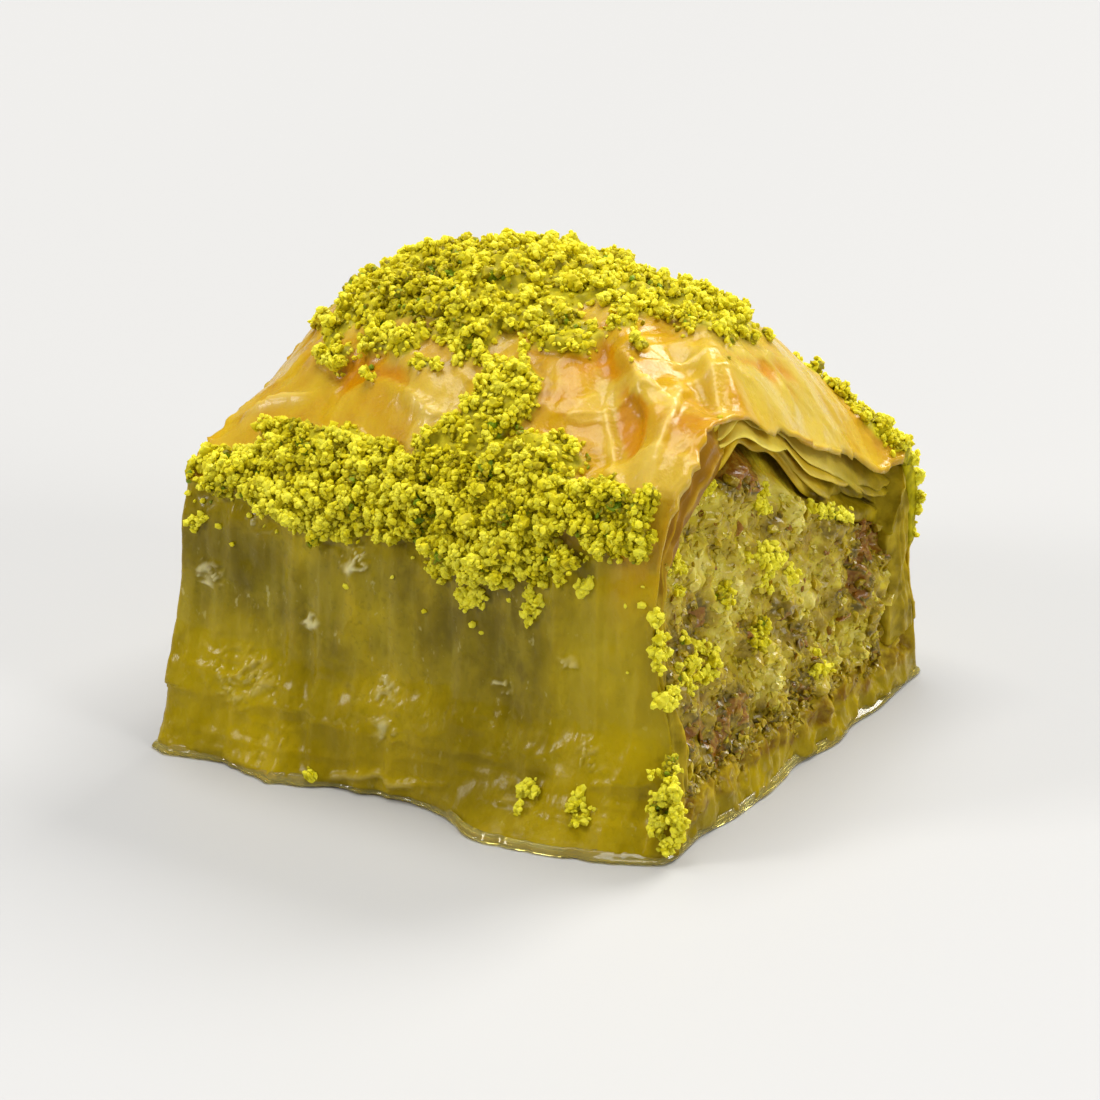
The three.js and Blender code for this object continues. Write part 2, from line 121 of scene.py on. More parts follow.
def together(*values):
    """Numbers and arrays as arrays of one shape."""
    return np.broadcast_arrays(*(np.asarray(v, float) for v in values))


def noise(x, y, z=0.0):
    """Smooth value noise in -1..1."""
    x, y, z = together(x, y, z)
    cell = [np.floor(v) for v in (x, y, z)]
    part = [fade(v - c) for v, c in zip((x, y, z), cell)]
    ix, iy, iz = (c.astype(np.int64) for c in cell)
    total = np.zeros(x.shape)
    for corner in range(8):
        d = (corner & 1, (corner >> 1) & 1, corner >> 2)
        weight = 1.0
        for on, f in zip(d, part):
            weight = weight * (f if on else 1 - f)
        total += weight * lattice(ix + d[0], iy + d[1], iz + d[2])
    return 2 * total - 1


def ridged(x, y, z=0.0):
    """Noise with sharp crests, in 0..1."""
    return 1 - np.abs(noise(x, y, z))


# ---- the piece's outer form
def face_x(side, y, z):
    lean = smooth(0, SHOULDER["front_right"], z)
    back = np.clip((y + HALF_W) / WIDTH, 0, 1)
    left = FACE_LEFT + LEAN_LEFT * lean
    right = FACE_RIGHT - mix(TURN * back, mix(LEAN_FRONT_RIGHT, LEAN_BACK_RIGHT, back), lean)
    return left if side < 0 else right


def length_share(x):
    return np.clip((x - FACE_LEFT) / (FACE_RIGHT - FACE_LEFT), 0, 1)


def shoulder_height(x, y):
    share = length_share(x)
    front = mix(SHOULDER["front_left"], SHOULDER["front_right"], share)
    back = mix(SHOULDER["back_left"], SHOULDER["back_right"], share)
    return mix(front, back, np.clip((y + HALF_W) / WIDTH, 0, 1))


def station(x, key):
    """A value of the crown's sections at x, on a smooth curve through the stations."""
    values = STATIONS[key]
    last = len(STATION_X) - 1
    i = np.clip(np.searchsorted(STATION_X, x, side="left") - 1, 0, last - 1)
    low = np.clip(np.arange(last + 1) - 1, 0, last)
    high = np.clip(np.arange(last + 1) + 1, 0, last)
    slope = (values[high] - values[low]) / (STATION_X[high] - STATION_X[low])
    run = STATION_X[i + 1] - STATION_X[i]
    t = np.clip((x - STATION_X[i]) / run, 0, 1)
    bend = t * (1 - t) * run
    return mix(values[i], values[i + 1], fade(t)) + bend * ((1 - t) * slope[i] - t * slope[i + 1])


def from_line(x, y, start, end):
    """A point's place by a line: share of its length, distance, and how far it is to the right."""
    dx, dy = end[0] - start[0], end[1] - start[1]
    x, y = x - start[0], y - start[1]
    along = np.clip((x * dx + y * dy) / (dx * dx + dy * dy), 0, 1)
    away = np.hypot(x - along * dx, y - along * dy)
    return along, away, (x * dy - y * dx) / math.hypot(dx, dy)


def crease_relief(x, y):
    total = np.zeros(np.broadcast(x, y).shape)
    for start, end, rise, width in CREASES:
        along, away, _ = from_line(x, y, start, end)
        total += rise * np.exp(-((away / width) ** 2)) * mix(0.35, 1, smooth(0, 0.5, along))
    return total


def sag(x, y):
    """How far the inner sheets hang down at the back of the right face."""
    return SAG * smooth(13, 20, x) * np.exp(-(((y - SAG_Y) / SAG_RUN) ** 2))


def half_width(x, side, depth):
    pinch = PINCH * np.abs(2 * length_share(x) - 1) ** 6
    return HALF_W - pinch - depth * np.where(side < 0, FRONT_PITCH, BACK_PITCH)


def crown_height(x, out, depth):
    y = out * half_width(x, out, depth)
    apex = station(x, "apex") / HALF_W
    away = np.where(out < apex, (apex - out) / (1 + apex), (out - apex) / (1 - apex))
    steep = np.where(out < apex, station(x, "front"), station(x, "back"))
    up = np.maximum(0, 1 - away * away) ** steep
    relief = crease_relief(x, y)
    for i, (height, pitch) in enumerate(CROWN_WAVES):
        relief = relief + height * noise(x / pitch, y / pitch, 5 + i)
    inwards = depth * (TOP_PITCH + sag(x, y) / SHEETS)
    return mix(shoulder_height(x, y), station(x, "ridge"), up) + relief * np.sqrt(up) - inwards


def wall_relief(x, z, side):
    layer = np.where(side < 0, 0, 9)
    bulge = 0.45 * noise(x / 7.7, z / 7.7, layer + 1)
    drag = 0.22 * noise(x / 1.4, z / 11, layer + 3)
    return bulge + drag + FLARE * smooth(10, BASE_TOP, z)


def section(reach, s, depth=0.0, end=0.0):
    """A point of the upper pastry: reach runs -1..1 between the cut faces, s 0..1 up the front
    wall, over the crown and down the back wall; depth counts sheets inwards."""
    reach, s, depth, end = together(reach, s, depth, end)
    on_skin = 1 - np.minimum(1, depth / SHEETS)
    side = np.where(s < 0.5, -1, 1)
    on_wall = (s < WALL_SHARE) | (s > 1 - WALL_SHARE)
    rise = np.where(on_wall, np.where(s < 0.5, s, 1 - s) / WALL_SHARE, 1)
    turn = (np.clip((s - WALL_SHARE) / (1 - 2 * WALL_SHARE), 0, 1) - 0.5) * math.pi
    out = np.sin(turn)
    height = mix(BASE_TOP, np.where(side < 0, SHOULDER["front_right"], SHOULDER["back_right"]), rise)
    left = face_x(-1, out * HALF_W, height) - end
    right = face_x(1, out * HALF_W, height) + end
    x = mix(left, right, (reach + 1) / 2)
    shoulder = shoulder_height(x, side * HALF_W)
    z_wall = mix(BASE_TOP, shoulder - depth * TOP_PITCH, rise)
    bulge = wall_relief(x, z_wall, side) - ROUNDING * smooth(0.8, 1, rise)
    y_wall = side * (half_width(x, side, depth) + bulge * on_skin)
    top = (wall_relief(x, shoulder, side) - ROUNDING) * (1 - np.cos(turn)) * on_skin
    y_crown = out * half_width(x, side, depth) + side * top
    z = np.where(on_wall, z_wall, crown_height(x, out, depth))
    return np.stack([x, np.where(on_wall, y_wall, y_crown), z], -1)


def pile(p):
    """How deep the ground nuts lie at a point of the skin."""
    x, y, z = np.moveaxis(p, -1, 0)
    ragged = 0.35 * noise(x / 2, y / 2, z / 2)
    deep = np.zeros(x.shape)
    for at, size, depth in PILES:
        away = np.sqrt((((p - at) / size) ** 2).sum(-1))
        deep = np.maximum(deep, depth * smooth(1.1, 0.7, away + ragged))
    return deep * (0.75 + 0.5 * noise(x / 1.4 + 9, y / 1.4, z / 1.4))


def on_crown(s):
    """1 on the crown, 0 on the walls."""
    return smooth(WALL_SHARE, WALL_SHARE + 0.1, s) * smooth(1 - WALL_SHARE, 0.9 - WALL_SHARE, s)


def overhang(s, side):
    """How far the ragged end of the skin passes the cut face."""
    return mix(0.25, 0.9, on_crown(s)) * noise(s * 15, 0, side * 4)


# ---- fine relief of the skin
DROOP_RIGHT, DROOP_LEFT = 2.5, 1.4  # how far the skin's end hangs down at each face
DROOP_RUN = 3.2  # how far inside the face it starts to bend down


def droop(p):
    """How far the skin's end bends down over a cut face."""
    x, y, z = np.moveaxis(p, -1, 0)
    right = DROOP_RIGHT * smooth(-8, -1, y) * smooth(18.5, 14, y)
    left = DROOP_LEFT * smooth(-14, -8, y) * smooth(10, 4, y)
    inside = np.where(x > 0, face_x(1, y, z) - x, x - face_x(-1, y, z))
    return np.where(x > 0, right, left) * np.clip(1 - inside / DROOP_RUN, 0, 1.05) ** 1.7


# Finer folds of the skin than the solids have: from, to, rise and width. A rising fold is the
# edge of a lapped leaf, so its left side is steep.
FOLDS = [
    ((9.2, -7), (15.5, -10.3), 0.55, 0.45), ((15.3, -7.7), (17, -15), 0.6, 1),
    ((11.3, -10), (14.3, -14.2), -1, 0.9), ((9.6, -9.8), (13.9, -16.2), 0.6, 0.9),
    ((11.5, -7), (14.3, -2.6), 0.45, 0.7), ((14.3, -2.6), (18.3, -7), 0.5, 0.7),
    ((15.6, 0.3), (16.6, 7), -0.45, 0.8), ((6, -4), (10, -11), -0.45, 0.8),
    ((12.5, 2), (12, 13), 0.4, 0.8), ((-20.7, -12), (-16, -12.3), 0.8, 0.6),
    ((-15, -10.9), (-6, -13.6), -0.45, 1.1), ((-11, -12.6), (0.3, -14.4), 0.4, 0.6),
    ((-20, 2), (-15, -6), 0.45, 0.7), ((-19, 5), (-12, 13), 0.5, 0.8),
    ((-9, 12.5), (6, 14), 0.45, 0.8), ((-7, 14.6), (8, 15.6), -0.4, 1),
]


def folds(x, y):
    total = np.zeros(np.broadcast(x, y).shape)
    bent = x + 0.5 * noise(x / 3, y / 3, 31), y + 0.5 * noise(x / 3, y / 3, 32)
    for start, end, rise, width in FOLDS:
        along, away, right = from_line(*bent, start, end)
        lap = smooth(-0.45, 0.1, right / width) if rise > 0 else 1
        total += rise * lap * np.exp(-((away / width) ** 1.5)) * mix(0.5, 1, np.sin(math.pi * along))
    return total


# Where the soaked leaves have come apart in strands on a wall: x, z and radius.
FRAYED = [
    (-6.7, 18.4, 1.6), (-17, 6.8, 2.8), (-4, 8.4, 1.3), (-3.6, 5.4, 1.2), (12.2, 14, 1),
    (-15.9, 19.6, 1.2), (-20.6, 14.4, 1.5), (6, 10.6, 1), (14.5, 7, 1.3), (-11, 12.5, 1),
]


def fraying(x, z):
    """Crumpled strands of leaf: 0 on the plain wall, up to 1 on a strand."""
    near = np.zeros(np.broadcast(x, z).shape)
    for x0, z0, radius in FRAYED:
        near = np.maximum(near, np.exp(-((np.hypot(x - x0, 1.3 * (z - z0)) / radius) ** 3)))
    bend = 0.9 * noise(x / 0.9, z / 0.9, 33)
    return near * ridged(x / 0.95 + bend, z / 0.6 + bend, 34) ** 4


def wall_marks(x, z):
    """Streaks, ripples and pits of the soaked walls."""
    streaks = 0.07 * noise(x / 0.6, z / 4, 25) + 0.16 * ridged(x / 3.2, z / 9, 26) ** 5
    ripples = 0.16 * ridged(x / 4.5, z / 1.5, 29) ** 4 * smooth(13, 6, z)
    pits = 0.18 * noise(x / 1.3, z / 1.5, 27) * smooth(-0.1, 0.5, noise(x / 4, z / 4, 28))
    return streaks + ripples + pits + 0.04 * noise(x / 0.35, z / 0.5, 30) + 0.5 * fraying(x, z) - 0.06


# Lighter (above 0) and darker parts of the front wall: x, z, radius and strength.
STAINS = [
    (17.5, 9.5, 5.5, 1), (13, 3, 4.5, 0.5), (-18.5, 7, 5.5, 1.3), (3.5, 3, 5.5, -0.9),
    (-8, 3.5, 4, -0.7), (3.8, 15.5, 4, -0.5), (14, 14.5, 5, 0.7), (17.2, 20.5, 3.2, 1),
    (-18.5, 17, 4.5, -1),
]


def soft_spots(u, v, spots):
    """Sum of round spots that fade out: each has its u, v, radius and strength."""
    return sum(size * np.exp(-(((u - u0) ** 2 + (v - v0) ** 2) / r**2)) for u0, v0, r, size in spots)


# Loose leaves on the crown: direction of their tears, length and width of the patches, and the
# level of the noise from which they lie.
LOOSE_LEAVES = [(0.35, 11.0, 3.6, 0.05), (-0.5, 8.0, 2.6, 0.15), (1.1, 7.0, 3.0, 0.20)]
LEAF_STEP = 0.10  # height of a leaf's edge


def loose_leaves(x, y):
    """How many leaves lie loose on each other here, with torn edges; 0 to 1."""
    x = x + 1.2 * noise(x / 4, y / 4, 61) + 0.4 * noise(x / 1.1, y / 1.1, 62)
    y = y + 1.2 * noise(x / 4, y / 4, 63) + 0.4 * noise(x / 1.1, y / 1.1, 64)
    total = 0
    for turn, length, width, level in LOOSE_LEAVES:
        u = (x * math.cos(turn) + y * math.sin(turn)) / length
        v = (y * math.cos(turn) - x * math.sin(turn)) / width
        total = total + smooth(level, level + 0.07, noise(u, v, length))
    return total / len(LOOSE_LEAVES)


def skin_relief(p, s):
    """Fine creases of the crown and marks dragged down the walls."""
    x, y, z = np.moveaxis(p, -1, 0)
    crown = on_crown(s)
    bend = 1.2 * noise(x / 7, y / 7, 21)
    broad = 0.22 * ridged(x / 5.5 + bend, y / 7 + bend, 22) ** 6
    paper = 0.08 * ridged(x / 2.6 + 2 * bend, y / 3.2 - bend, 23) ** 10
    fine = 0.06 * ridged(x / 1.1 + bend, y / 1.7, 24) ** 4 + 0.02 * noise(x / 0.5, y / 0.6, 24)
    leaves = LEAF_STEP * len(LOOSE_LEAVES) * loose_leaves(x, y)
    return crown * (folds(x, y) + broad + paper + fine + leaves - 0.15) + (1 - crown) * wall_marks(x, z)


def nut_bumps(p):
    """The lumpy bed of ground nuts between the loose crumbs."""
    x, y, z = np.moveaxis(p, -1, 0)
    return 0.26 * noise(x / 0.9, y / 0.9, z / 0.9) + 0.13 * noise(x / 0.4, y / 0.4, z / 0.4)


BED_RISE = 0.8  # how much of the nuts' depth is their bed, the rest being loose crumbs
EDGE_IN = 0.45  # how far the skin's lower edges are tucked in
INSIDE = (0, 0, 12)  # a point inside the piece


def skin_at(reach, s, end=0.0):
    """Points of the finished skin, outward normals, depth of the nuts and fine relief there."""
    step = 1e-3
    p = section(reach, s, 0, end)
    p[..., 2] -= droop(p)
    along = section(reach + step, s, 0, end) - section(reach - step, s, 0, end)
    across = section(reach, s + step, 0, end) - section(reach, s - step, 0, end)
    normal = np.cross(along, across)
    normal /= np.linalg.norm(normal, axis=-1, keepdims=True)
    flip = np.sign(((p - INSIDE) * normal).sum(-1, keepdims=True))
    normal *= np.where(flip == 0, 1, flip)
    bed = pile(p)
    fine = skin_relief(p, np.broadcast_to(s, bed.shape)) * (1 - smooth(0.1, 0.5, bed))
    height = fine + (BED_RISE * bed + nut_bumps(p) * smooth(0.15, 0.6, bed))
    height = height - EDGE_IN * smooth(0.007, 0.001, np.minimum(s, 1 - s))
    return p + normal * height[..., None], normal, bed, fine


# ---- meshes
def add_object(name, data):
    """A new object for a mesh, a light or a camera."""
    obj = bpy.data.objects.new(name, data)
    bpy.context.scene.collection.objects.link(obj)
    return obj


def make(name, parts, material, shade_smooth=True):
    """A piece from closed parts: points in millimetres, faces, and by name the numbers for each
    point that the material reads."""
    start, faces = 0, []
    for points, part_faces, _ in parts:
        faces.append(facing_out(points, part_faces) + start)
        start += points.size // 3
    points = np.concatenate([points.reshape(-1, 3) for points, _, _ in parts])
    mesh = bpy.data.meshes.new(name)
    flat = not shade_smooth
    mesh.from_pydata((points - MIDDLE) * MM, [], np.concatenate(faces), shade_flat=flat)
    for key in parts[0][2]:
        numbers = np.concatenate([np.ravel(values[key]) for _, _, values in parts])
        data = mesh.attributes.new(key, "FLOAT", "POINT").data
        data.foreach_set("value", numbers.astype(np.float32))
    mesh.validate()
    mesh.materials.append(material)
    obj = add_object(name, mesh)
    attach(obj, "root")
    return obj


def facing_out(points, faces):
    """The faces turned so that the closed mesh has its normals outside."""
    a, b, c, *fourth = points.reshape(-1, 3)[faces.T]
    volume = (a * np.cross(b, c)).sum() + sum((a * np.cross(c, d)).sum() for d in fourth)
    return faces if volume > 0 else faces[:, ::-1]


def quads(low, high):
    """Faces between rows of point numbers and the rows that follow them."""
    return np.stack([low[:, :-1], low[:, 1:], high[:, 1:], high[:, :-1]], -1).reshape(-1, 4)


def two_sheets(outer, inner):
    """Two grids of points as one list, their faces, and the numbers around the edge of each."""
    faces, edges, start = [], [], 0
    for grid in (outer, inner):
        index = start + np.arange(grid[..., 0].size).reshape(grid.shape[:2])
        sheet = quads(index[:-1], index[1:])
        faces.append(sheet[:, ::-1] if start else sheet)
        edge = [index[0, :], index[1:, -1], index[-1, -2::-1], index[-2:0:-1, 0]]
        edges.append(np.concatenate(edge))
        start += index.size
    points = np.concatenate([outer.reshape(-1, 3), inner.reshape(-1, 3)])
    return points, np.concatenate(faces), edges


def closed_sheet(outer, inner):
    """Two grids of the same shape joined along their four edges: points and faces."""
    points, faces, (rim, low) = two_sheets(outer, inner)
    joint = np.stack([np.roll(rim, -1), rim, low, np.roll(low, -1)], -1)
    return points, np.concatenate([faces, joint])


def coarse_backed_sheet(outer, inner):
    """Like closed_sheet, all in triangles, with an inner grid of every second row and column."""
    points, faces, (rim, low) = two_sheets(outer, inner)
    a, m, b, low_b = rim[::2], rim[1::2], np.roll(rim[::2], -1), np.roll(low, -1)
    faces = [faces[:, [0, 1, 2]], faces[:, [0, 2, 3]]]
    faces += [np.stack(t, -1) for t in ((m, a, low), (m, low, low_b), (b, m, low_b))]
    return points, np.concatenate(faces)


def ringed_strip(grid):
    """A closed strip from a grid whose columns run round its section: points and faces."""
    rows, cols = grid.shape[:2]
    index = np.arange(rows * cols).reshape(rows, cols)
    faces = [quads(index, np.roll(index, -1, axis=0))]
    half = rows // 2
    for edge in (index[:, 0], index[::-1, -1]):
        back = edge[::-1]
        faces.append(np.stack([edge[: half - 1], edge[1:half], back[1:half], back[: half - 1]], -1))
    return grid, np.concatenate(faces)


def tube(levels, count, closed=False):
    """Faces between rings of points, as triangles; closed joins the last ring to the first."""
    index = np.arange(levels * count).reshape(levels, count)
    following = np.roll(index, -1, axis=0) if closed else index[1:]
    index = index if closed else index[:-1]
    beside, ahead = np.roll(index, -1, axis=1), np.roll(following, -1, axis=1)
    faces = [np.stack([index, beside, ahead], -1), np.stack([index, ahead, following], -1)]
    return np.concatenate(faces).reshape(-1, 3)


def shaped_box(nx, ny, nz, place):
    """A closed box of nx by ny by nz steps with its points moved to place(a, b, c), a..c in 0..1."""
    size = np.array([nx, ny, nz])
    sides = []
    for axis in range(3):
        u, v = [k for k in range(3) if k != axis]
        i, j = np.meshgrid(np.arange(size[u]), np.arange(size[v]), indexing="ij")
        for end in (0, size[axis]):
            corners = []
            for di, dj in ((0, 0), (1, 0), (1, 1), (0, 1)):
                corner = np.empty(i.shape + (3,), int)
                corner[..., axis], corner[..., u], corner[..., v] = end, i + di, j + dj
                corners.append(corner.reshape(-1, 3))
            # the winding is alternated so that every face looks out
            turned = (end == 0) ^ (axis == 1)
            sides.append(np.stack(corners[::-1] if turned else corners, 1))
    corners = np.concatenate(sides).reshape(-1, 3)
    unique, index = np.unique(corners, axis=0, return_inverse=True)
    return place(*(unique / size).T), index.reshape(-1, 4)


def icosphere(subdivisions):
    g = (1 + 5**0.5) / 2
    points = [np.roll((u, v * g, 0), turn) for turn in range(3) for v in (1, -1) for u in (-1, 1)]
    faces = [(0, 11, 5), (0, 5, 1), (0, 1, 7), (0, 7, 10), (0, 10, 11), (1, 5, 9), (5, 11, 4)]
    faces += [(11, 10, 2), (10, 7, 6), (7, 1, 8), (3, 9, 4), (3, 4, 2), (3, 2, 6), (3, 6, 8)]
    faces += [(3, 8, 9), (4, 9, 5), (2, 4, 11), (6, 2, 10), (8, 6, 7), (9, 8, 1)]
    points = [p / np.linalg.norm(p) for p in points]
    for _ in range(subdivisions):
        middle, finer = {}, []
        for a, b, c in faces:
            mids = []
            for i, j in ((a, b), (b, c), (c, a)):
                key = (min(i, j), max(i, j))
                if key not in middle:
                    m = points[i] + points[j]
                    middle[key] = len(points)
                    points.append(m / np.linalg.norm(m))
                mids.append(middle[key])
            ab, bc, ca = mids
            finer += [(a, ab, ca), (b, bc, ab), (c, ca, bc), (ab, bc, ca)]
        faces = finer
    return np.array(points), np.array(faces)


def spins(random, count):
    """Random rotation matrices."""
    q = random.normal(size=(count, 4))
    q /= np.linalg.norm(q, axis=1, keepdims=True)
    w, x, y, z = q.T
    rows = [
        [1 - 2 * (y * y + z * z), 2 * (x * y - z * w), 2 * (x * z + y * w)],
        [2 * (x * y + z * w), 1 - 2 * (x * x + z * z), 2 * (y * z - x * w)],
        [2 * (x * z - y * w), 2 * (y * z + x * w), 1 - 2 * (x * x + y * y)],
    ]
    return np.moveaxis(np.array(rows), -1, 0)


PITCH = 1.9  # of a crumb's bumps, in its radii
# Painted shade: the pits of every crumb and nut bit are coloured darker than its tops.
PIT_SHADE = 0.22  # how much darker the pits of a crumb are than its tops


def lumps(random, centres, radii, tones, flat=1.0, rough=0.4, detail=0):
    """Irregular crumbs: bumpy, stretched and turned at random, with painted shade in their pits.
    Points, faces and their shades.
    """
    ball, faces = icosphere(detail)
    count = len(centres)
    offset = random.uniform(0, 500, (count, 1, 3))
    bump = noise(*np.moveaxis(ball * PITCH + offset, -1, 0))
    finer = noise(*np.moveaxis(ball * 2.3 * PITCH + offset, -1, 0))
    bump += 0.6 * finer + random.uniform(-0.2, 0.2, bump.shape)
    stretch = random.uniform(0.65, 1.35, (count, 1, 3))
    stretch[..., 2] *= flat
    shape = ball * (1 + rough * bump)[..., None] * stretch
    shape = np.einsum("nij,nvj->nvi", spins(random, count), shape)
    points = shape * radii[:, None, None] + centres[:, None, :]
    index = faces + (np.arange(count) * len(ball))[:, None, None]
    # painted shade: darker in the pits, lighter on the bumps
    shades = tones[:, None] + PIT_SHADE * bump
    return points, index.reshape(-1, 3), {"tone": shades}


def thin_out(points, apart):
    """Indices of points of which about one is kept in every cube with sides of apart."""
    return np.unique(np.floor(points / apart).astype(int), axis=0, return_index=True)[1]


# ---- materials
class Look:
    """A node material under construction, built on the Principled shader."""

    def __init__(self, name):
        self.material = bpy.data.materials.new(name)
        self.material.use_nodes = True
        self.tree = self.material.node_tree
        self.shader = self.tree.nodes["Principled BSDF"]
        self.place = self.add("ShaderNodeTexCoord").outputs["Object"]

    def add(self, kind, inputs=None, **settings):
        node = self.tree.nodes.new(kind)
        for key, value in settings.items():
            setattr(node, key, value)
        for key, value in (inputs or {}).items():
            self.put(node.inputs[key], value)
        return node

    def put(self, socket, value):
        if isinstance(value, bpy.types.NodeSocket):
            self.tree.links.new(value, socket)
        elif isinstance(value, tuple) and len(value) == 3 and socket.type == "RGBA":
            socket.default_value = (*value, 1)
        else:
            socket.default_value = value

    def set(self, **values):
        for key, value in values.items():
            self.put(self.shader.inputs[key.replace("_", " ")], value)

    def attribute(self, name):
        return self.add("ShaderNodeAttribute", attribute_name=name).outputs["Fac"]

    def noise(self, size, detail=3.0, stretch=(1, 1, 1), rough=0.55, shift=0.0):
        """Noise with lumps of about size millimetres; stretch lengthens them along X, Y, Z."""
        inputs = {"Vector": self.place, "Location": (shift,) * 3, "Scale": tuple(1 / v for v in stretch)}
        place = self.add("ShaderNodeMapping", inputs).outputs[0]
        inputs = {"Vector": place, "Scale": 1 / (size * MM), "Detail": detail, "Roughness": rough}
        return self.add("ShaderNodeTexNoise", inputs).outputs["Fac"]

    def math(self, operation, a, b):
        return self.add("ShaderNodeMath", {0: a, 1: b}, operation=operation).outputs[0]

    def span(self, value, low, high, to_low=0.0, to_high=1.0):
        """The value's way from low to high as a smooth way from to_low to to_high."""
        inputs = dict(enumerate((value, low, high, to_low, to_high)))
        return self.add("ShaderNodeMapRange", inputs, interpolation_type="SMOOTHSTEP").outputs["Result"]

    def height(self):
        return self.add("ShaderNodeSeparateXYZ", {"Vector": self.place}).outputs["Z"]

    def ramp(self, value, *stops):
        """Colours along a value: stops are (position, (r, g, b))."""
        node = self.add("ShaderNodeValToRGB", {"Fac": value})
        elements = node.color_ramp.elements
        while len(elements) < len(stops):
            elements.new(0.5)
        for element, (position, colour) in zip(elements, stops):
            element.position = position
            element.color = (*colour, 1)
        return node.outputs["Color"]

    def blend(self, share, a, b):
        return self.add("ShaderNodeMix", {0: share, 6: a, 7: b}, data_type="RGBA").outputs[2]

    def layered(self, base, *layers):
        """Colours over a base. Each has a value, the low and high of its way in, share and colour."""
        for value, low, high, share, colour in layers:
            base = self.blend(self.span(value, low, high, 0, share), base, colour)
        return base

    def bump(self, height, depth, strength):
        """Bumps of depth millimetres from a height in 0..1."""
        inputs = {"Height": height, "Distance": depth * MM, "Strength": strength}
        return self.add("ShaderNodeBump", inputs).outputs["Normal"]


def baked_colour(look):
    base = look.ramp(
        look.noise(5.0, 4, shift=0.3),
        (0.32, (0.39, 0.17, 0)), (0.46, (0.46, 0.25, 0.001)), (0.62, (0.51, 0.32, 0.005)),
    )
    relief = look.attribute("height")
    loose = (look.attribute("loose"), 0, 1, 0.75, (0.56, 0.39, 0.055))
    # the leaf over the right cut face: a lighter colour, partly its own and partly painted sheen
    pale_sheen = (look.attribute("pale_sheen"), 0, 1, 0.75, (0.53, 0.41, 0.06))
    # painted sheen: the raised parts of the relief are coloured lighter
    crest_sheen = (relief, 0.10, 0.60, 0.6, (0.66, 0.5, 0.12))
    hollows = (relief, -0.04, -0.40, 0.9, (0.48, 0.19, 0))
    return look.layered(base, loose, pale_sheen, crest_sheen, hollows)


def soaked_colour(look):
    base = look.ramp(
        look.noise(6.0, 5, stretch=(1, 1, 1.6), shift=0.7, rough=0.6),
        (0.34, (0.14, 0.102, 0)), (0.48, (0.235, 0.17, 0)), (0.62, (0.42, 0.3, 0.002)),
    )
    streaks = (look.noise(0.8, 3, stretch=(1, 1, 8)), 0.52, 0.74, 0.40, (0.36, 0.29, 0.03))
    clouds = look.noise(2.4, 4, stretch=(1, 1, 1.3), shift=0.5)
    clouds = (clouds, 0.42, 0.62, 0.35, (0.4, 0.31, 0.01))
    grains = (look.noise(0.45, 4, shift=0.8), 0.55, 0.68, 0.35, (0.13, 0.1, 0))
    flecks = look.noise(0.7, 3, stretch=(1, 1, 1.8), shift=0.2)
    flecks = (flecks, 0.64, 0.74, 0.45, (0.6, 0.52, 0.2))
    # strands of leaf coloured lighter, partly their own colour and partly painted glints on their tops;
    # along the ruffle at the foot, a painted glint line
    threads_and_glints = (look.attribute("frayed_glint"), 0.1, 0.7, 0.85, (0.66, 0.6, 0.3))
    stain = look.attribute("stain")
    lighter = (stain, 0, 1, 0.6, (0.48, 0.35, 0.002))
    darker = (stain, 0, -1, 0.7, (0.13, 0.095, 0))
    low = (look.height(), 0.015, 0.005, 0.40, (0.31, 0.215, 0.001))
    paste = look.ramp(
        look.noise(1.5, 5, shift=0.1, rough=0.65),
        (0.36, (0.16, 0.08, 0.001)), (0.48, (0.25, 0.16, 0.003)), (0.64, (0.42, 0.3, 0.01)),
    )
    nutty = (look.attribute("nutty"), 0.15, 0.85, 1, paste)
    marks = (streaks, clouds, grains, flecks, threads_and_glints, lighter, darker, low, nutty)
    return look.layered(base, *marks)


def pastry_skin_look():
    look = Look("pastry_skin")
    nuts, crown = look.attribute("nuts"), look.attribute("crown")
    pastry = look.blend(crown, soaked_colour(look), baked_colour(look))
    # the bed of nuts between the crumbs is coloured darker than they are: painted shade in their gaps
    bed = look.ramp(look.noise(0.7, 2), (0.35, (0.27, 0.23, 0.002)), (0.6, (0.46, 0.39, 0.005)))
    gloss = look.span(look.noise(1.8, 3, shift=0.9), 0.35, 0.7, 0.20, 0.42)
    wet = look.span(look.height(), 0.002, 0.012, 0.08, 0.24)
    look.set(
        Base_Color=look.blend(look.span(nuts, 0.15, 0.5), pastry, bed),
        Roughness=look.math("ADD", gloss, look.math("MULTIPLY", nuts, 0.3)),
        Specular_IOR_Level=look.span(crown, 0.0, 1.0, 0.08, 0.15),
        Coat_Weight=look.math("MULTIPLY", look.span(nuts, 0.4, 0.05), wet),
        Coat_Roughness=0.12,
        Coat_IOR=1.45,
        Subsurface_Weight=0.25,
        Subsurface_Radius=(1, 0.7, 0.05),
        Subsurface_Scale=0.001,
        Normal=look.bump(look.noise(0.6, 4, stretch=(1, 1, 2.5)), 0.14, 0.7),
    )
    return look.material


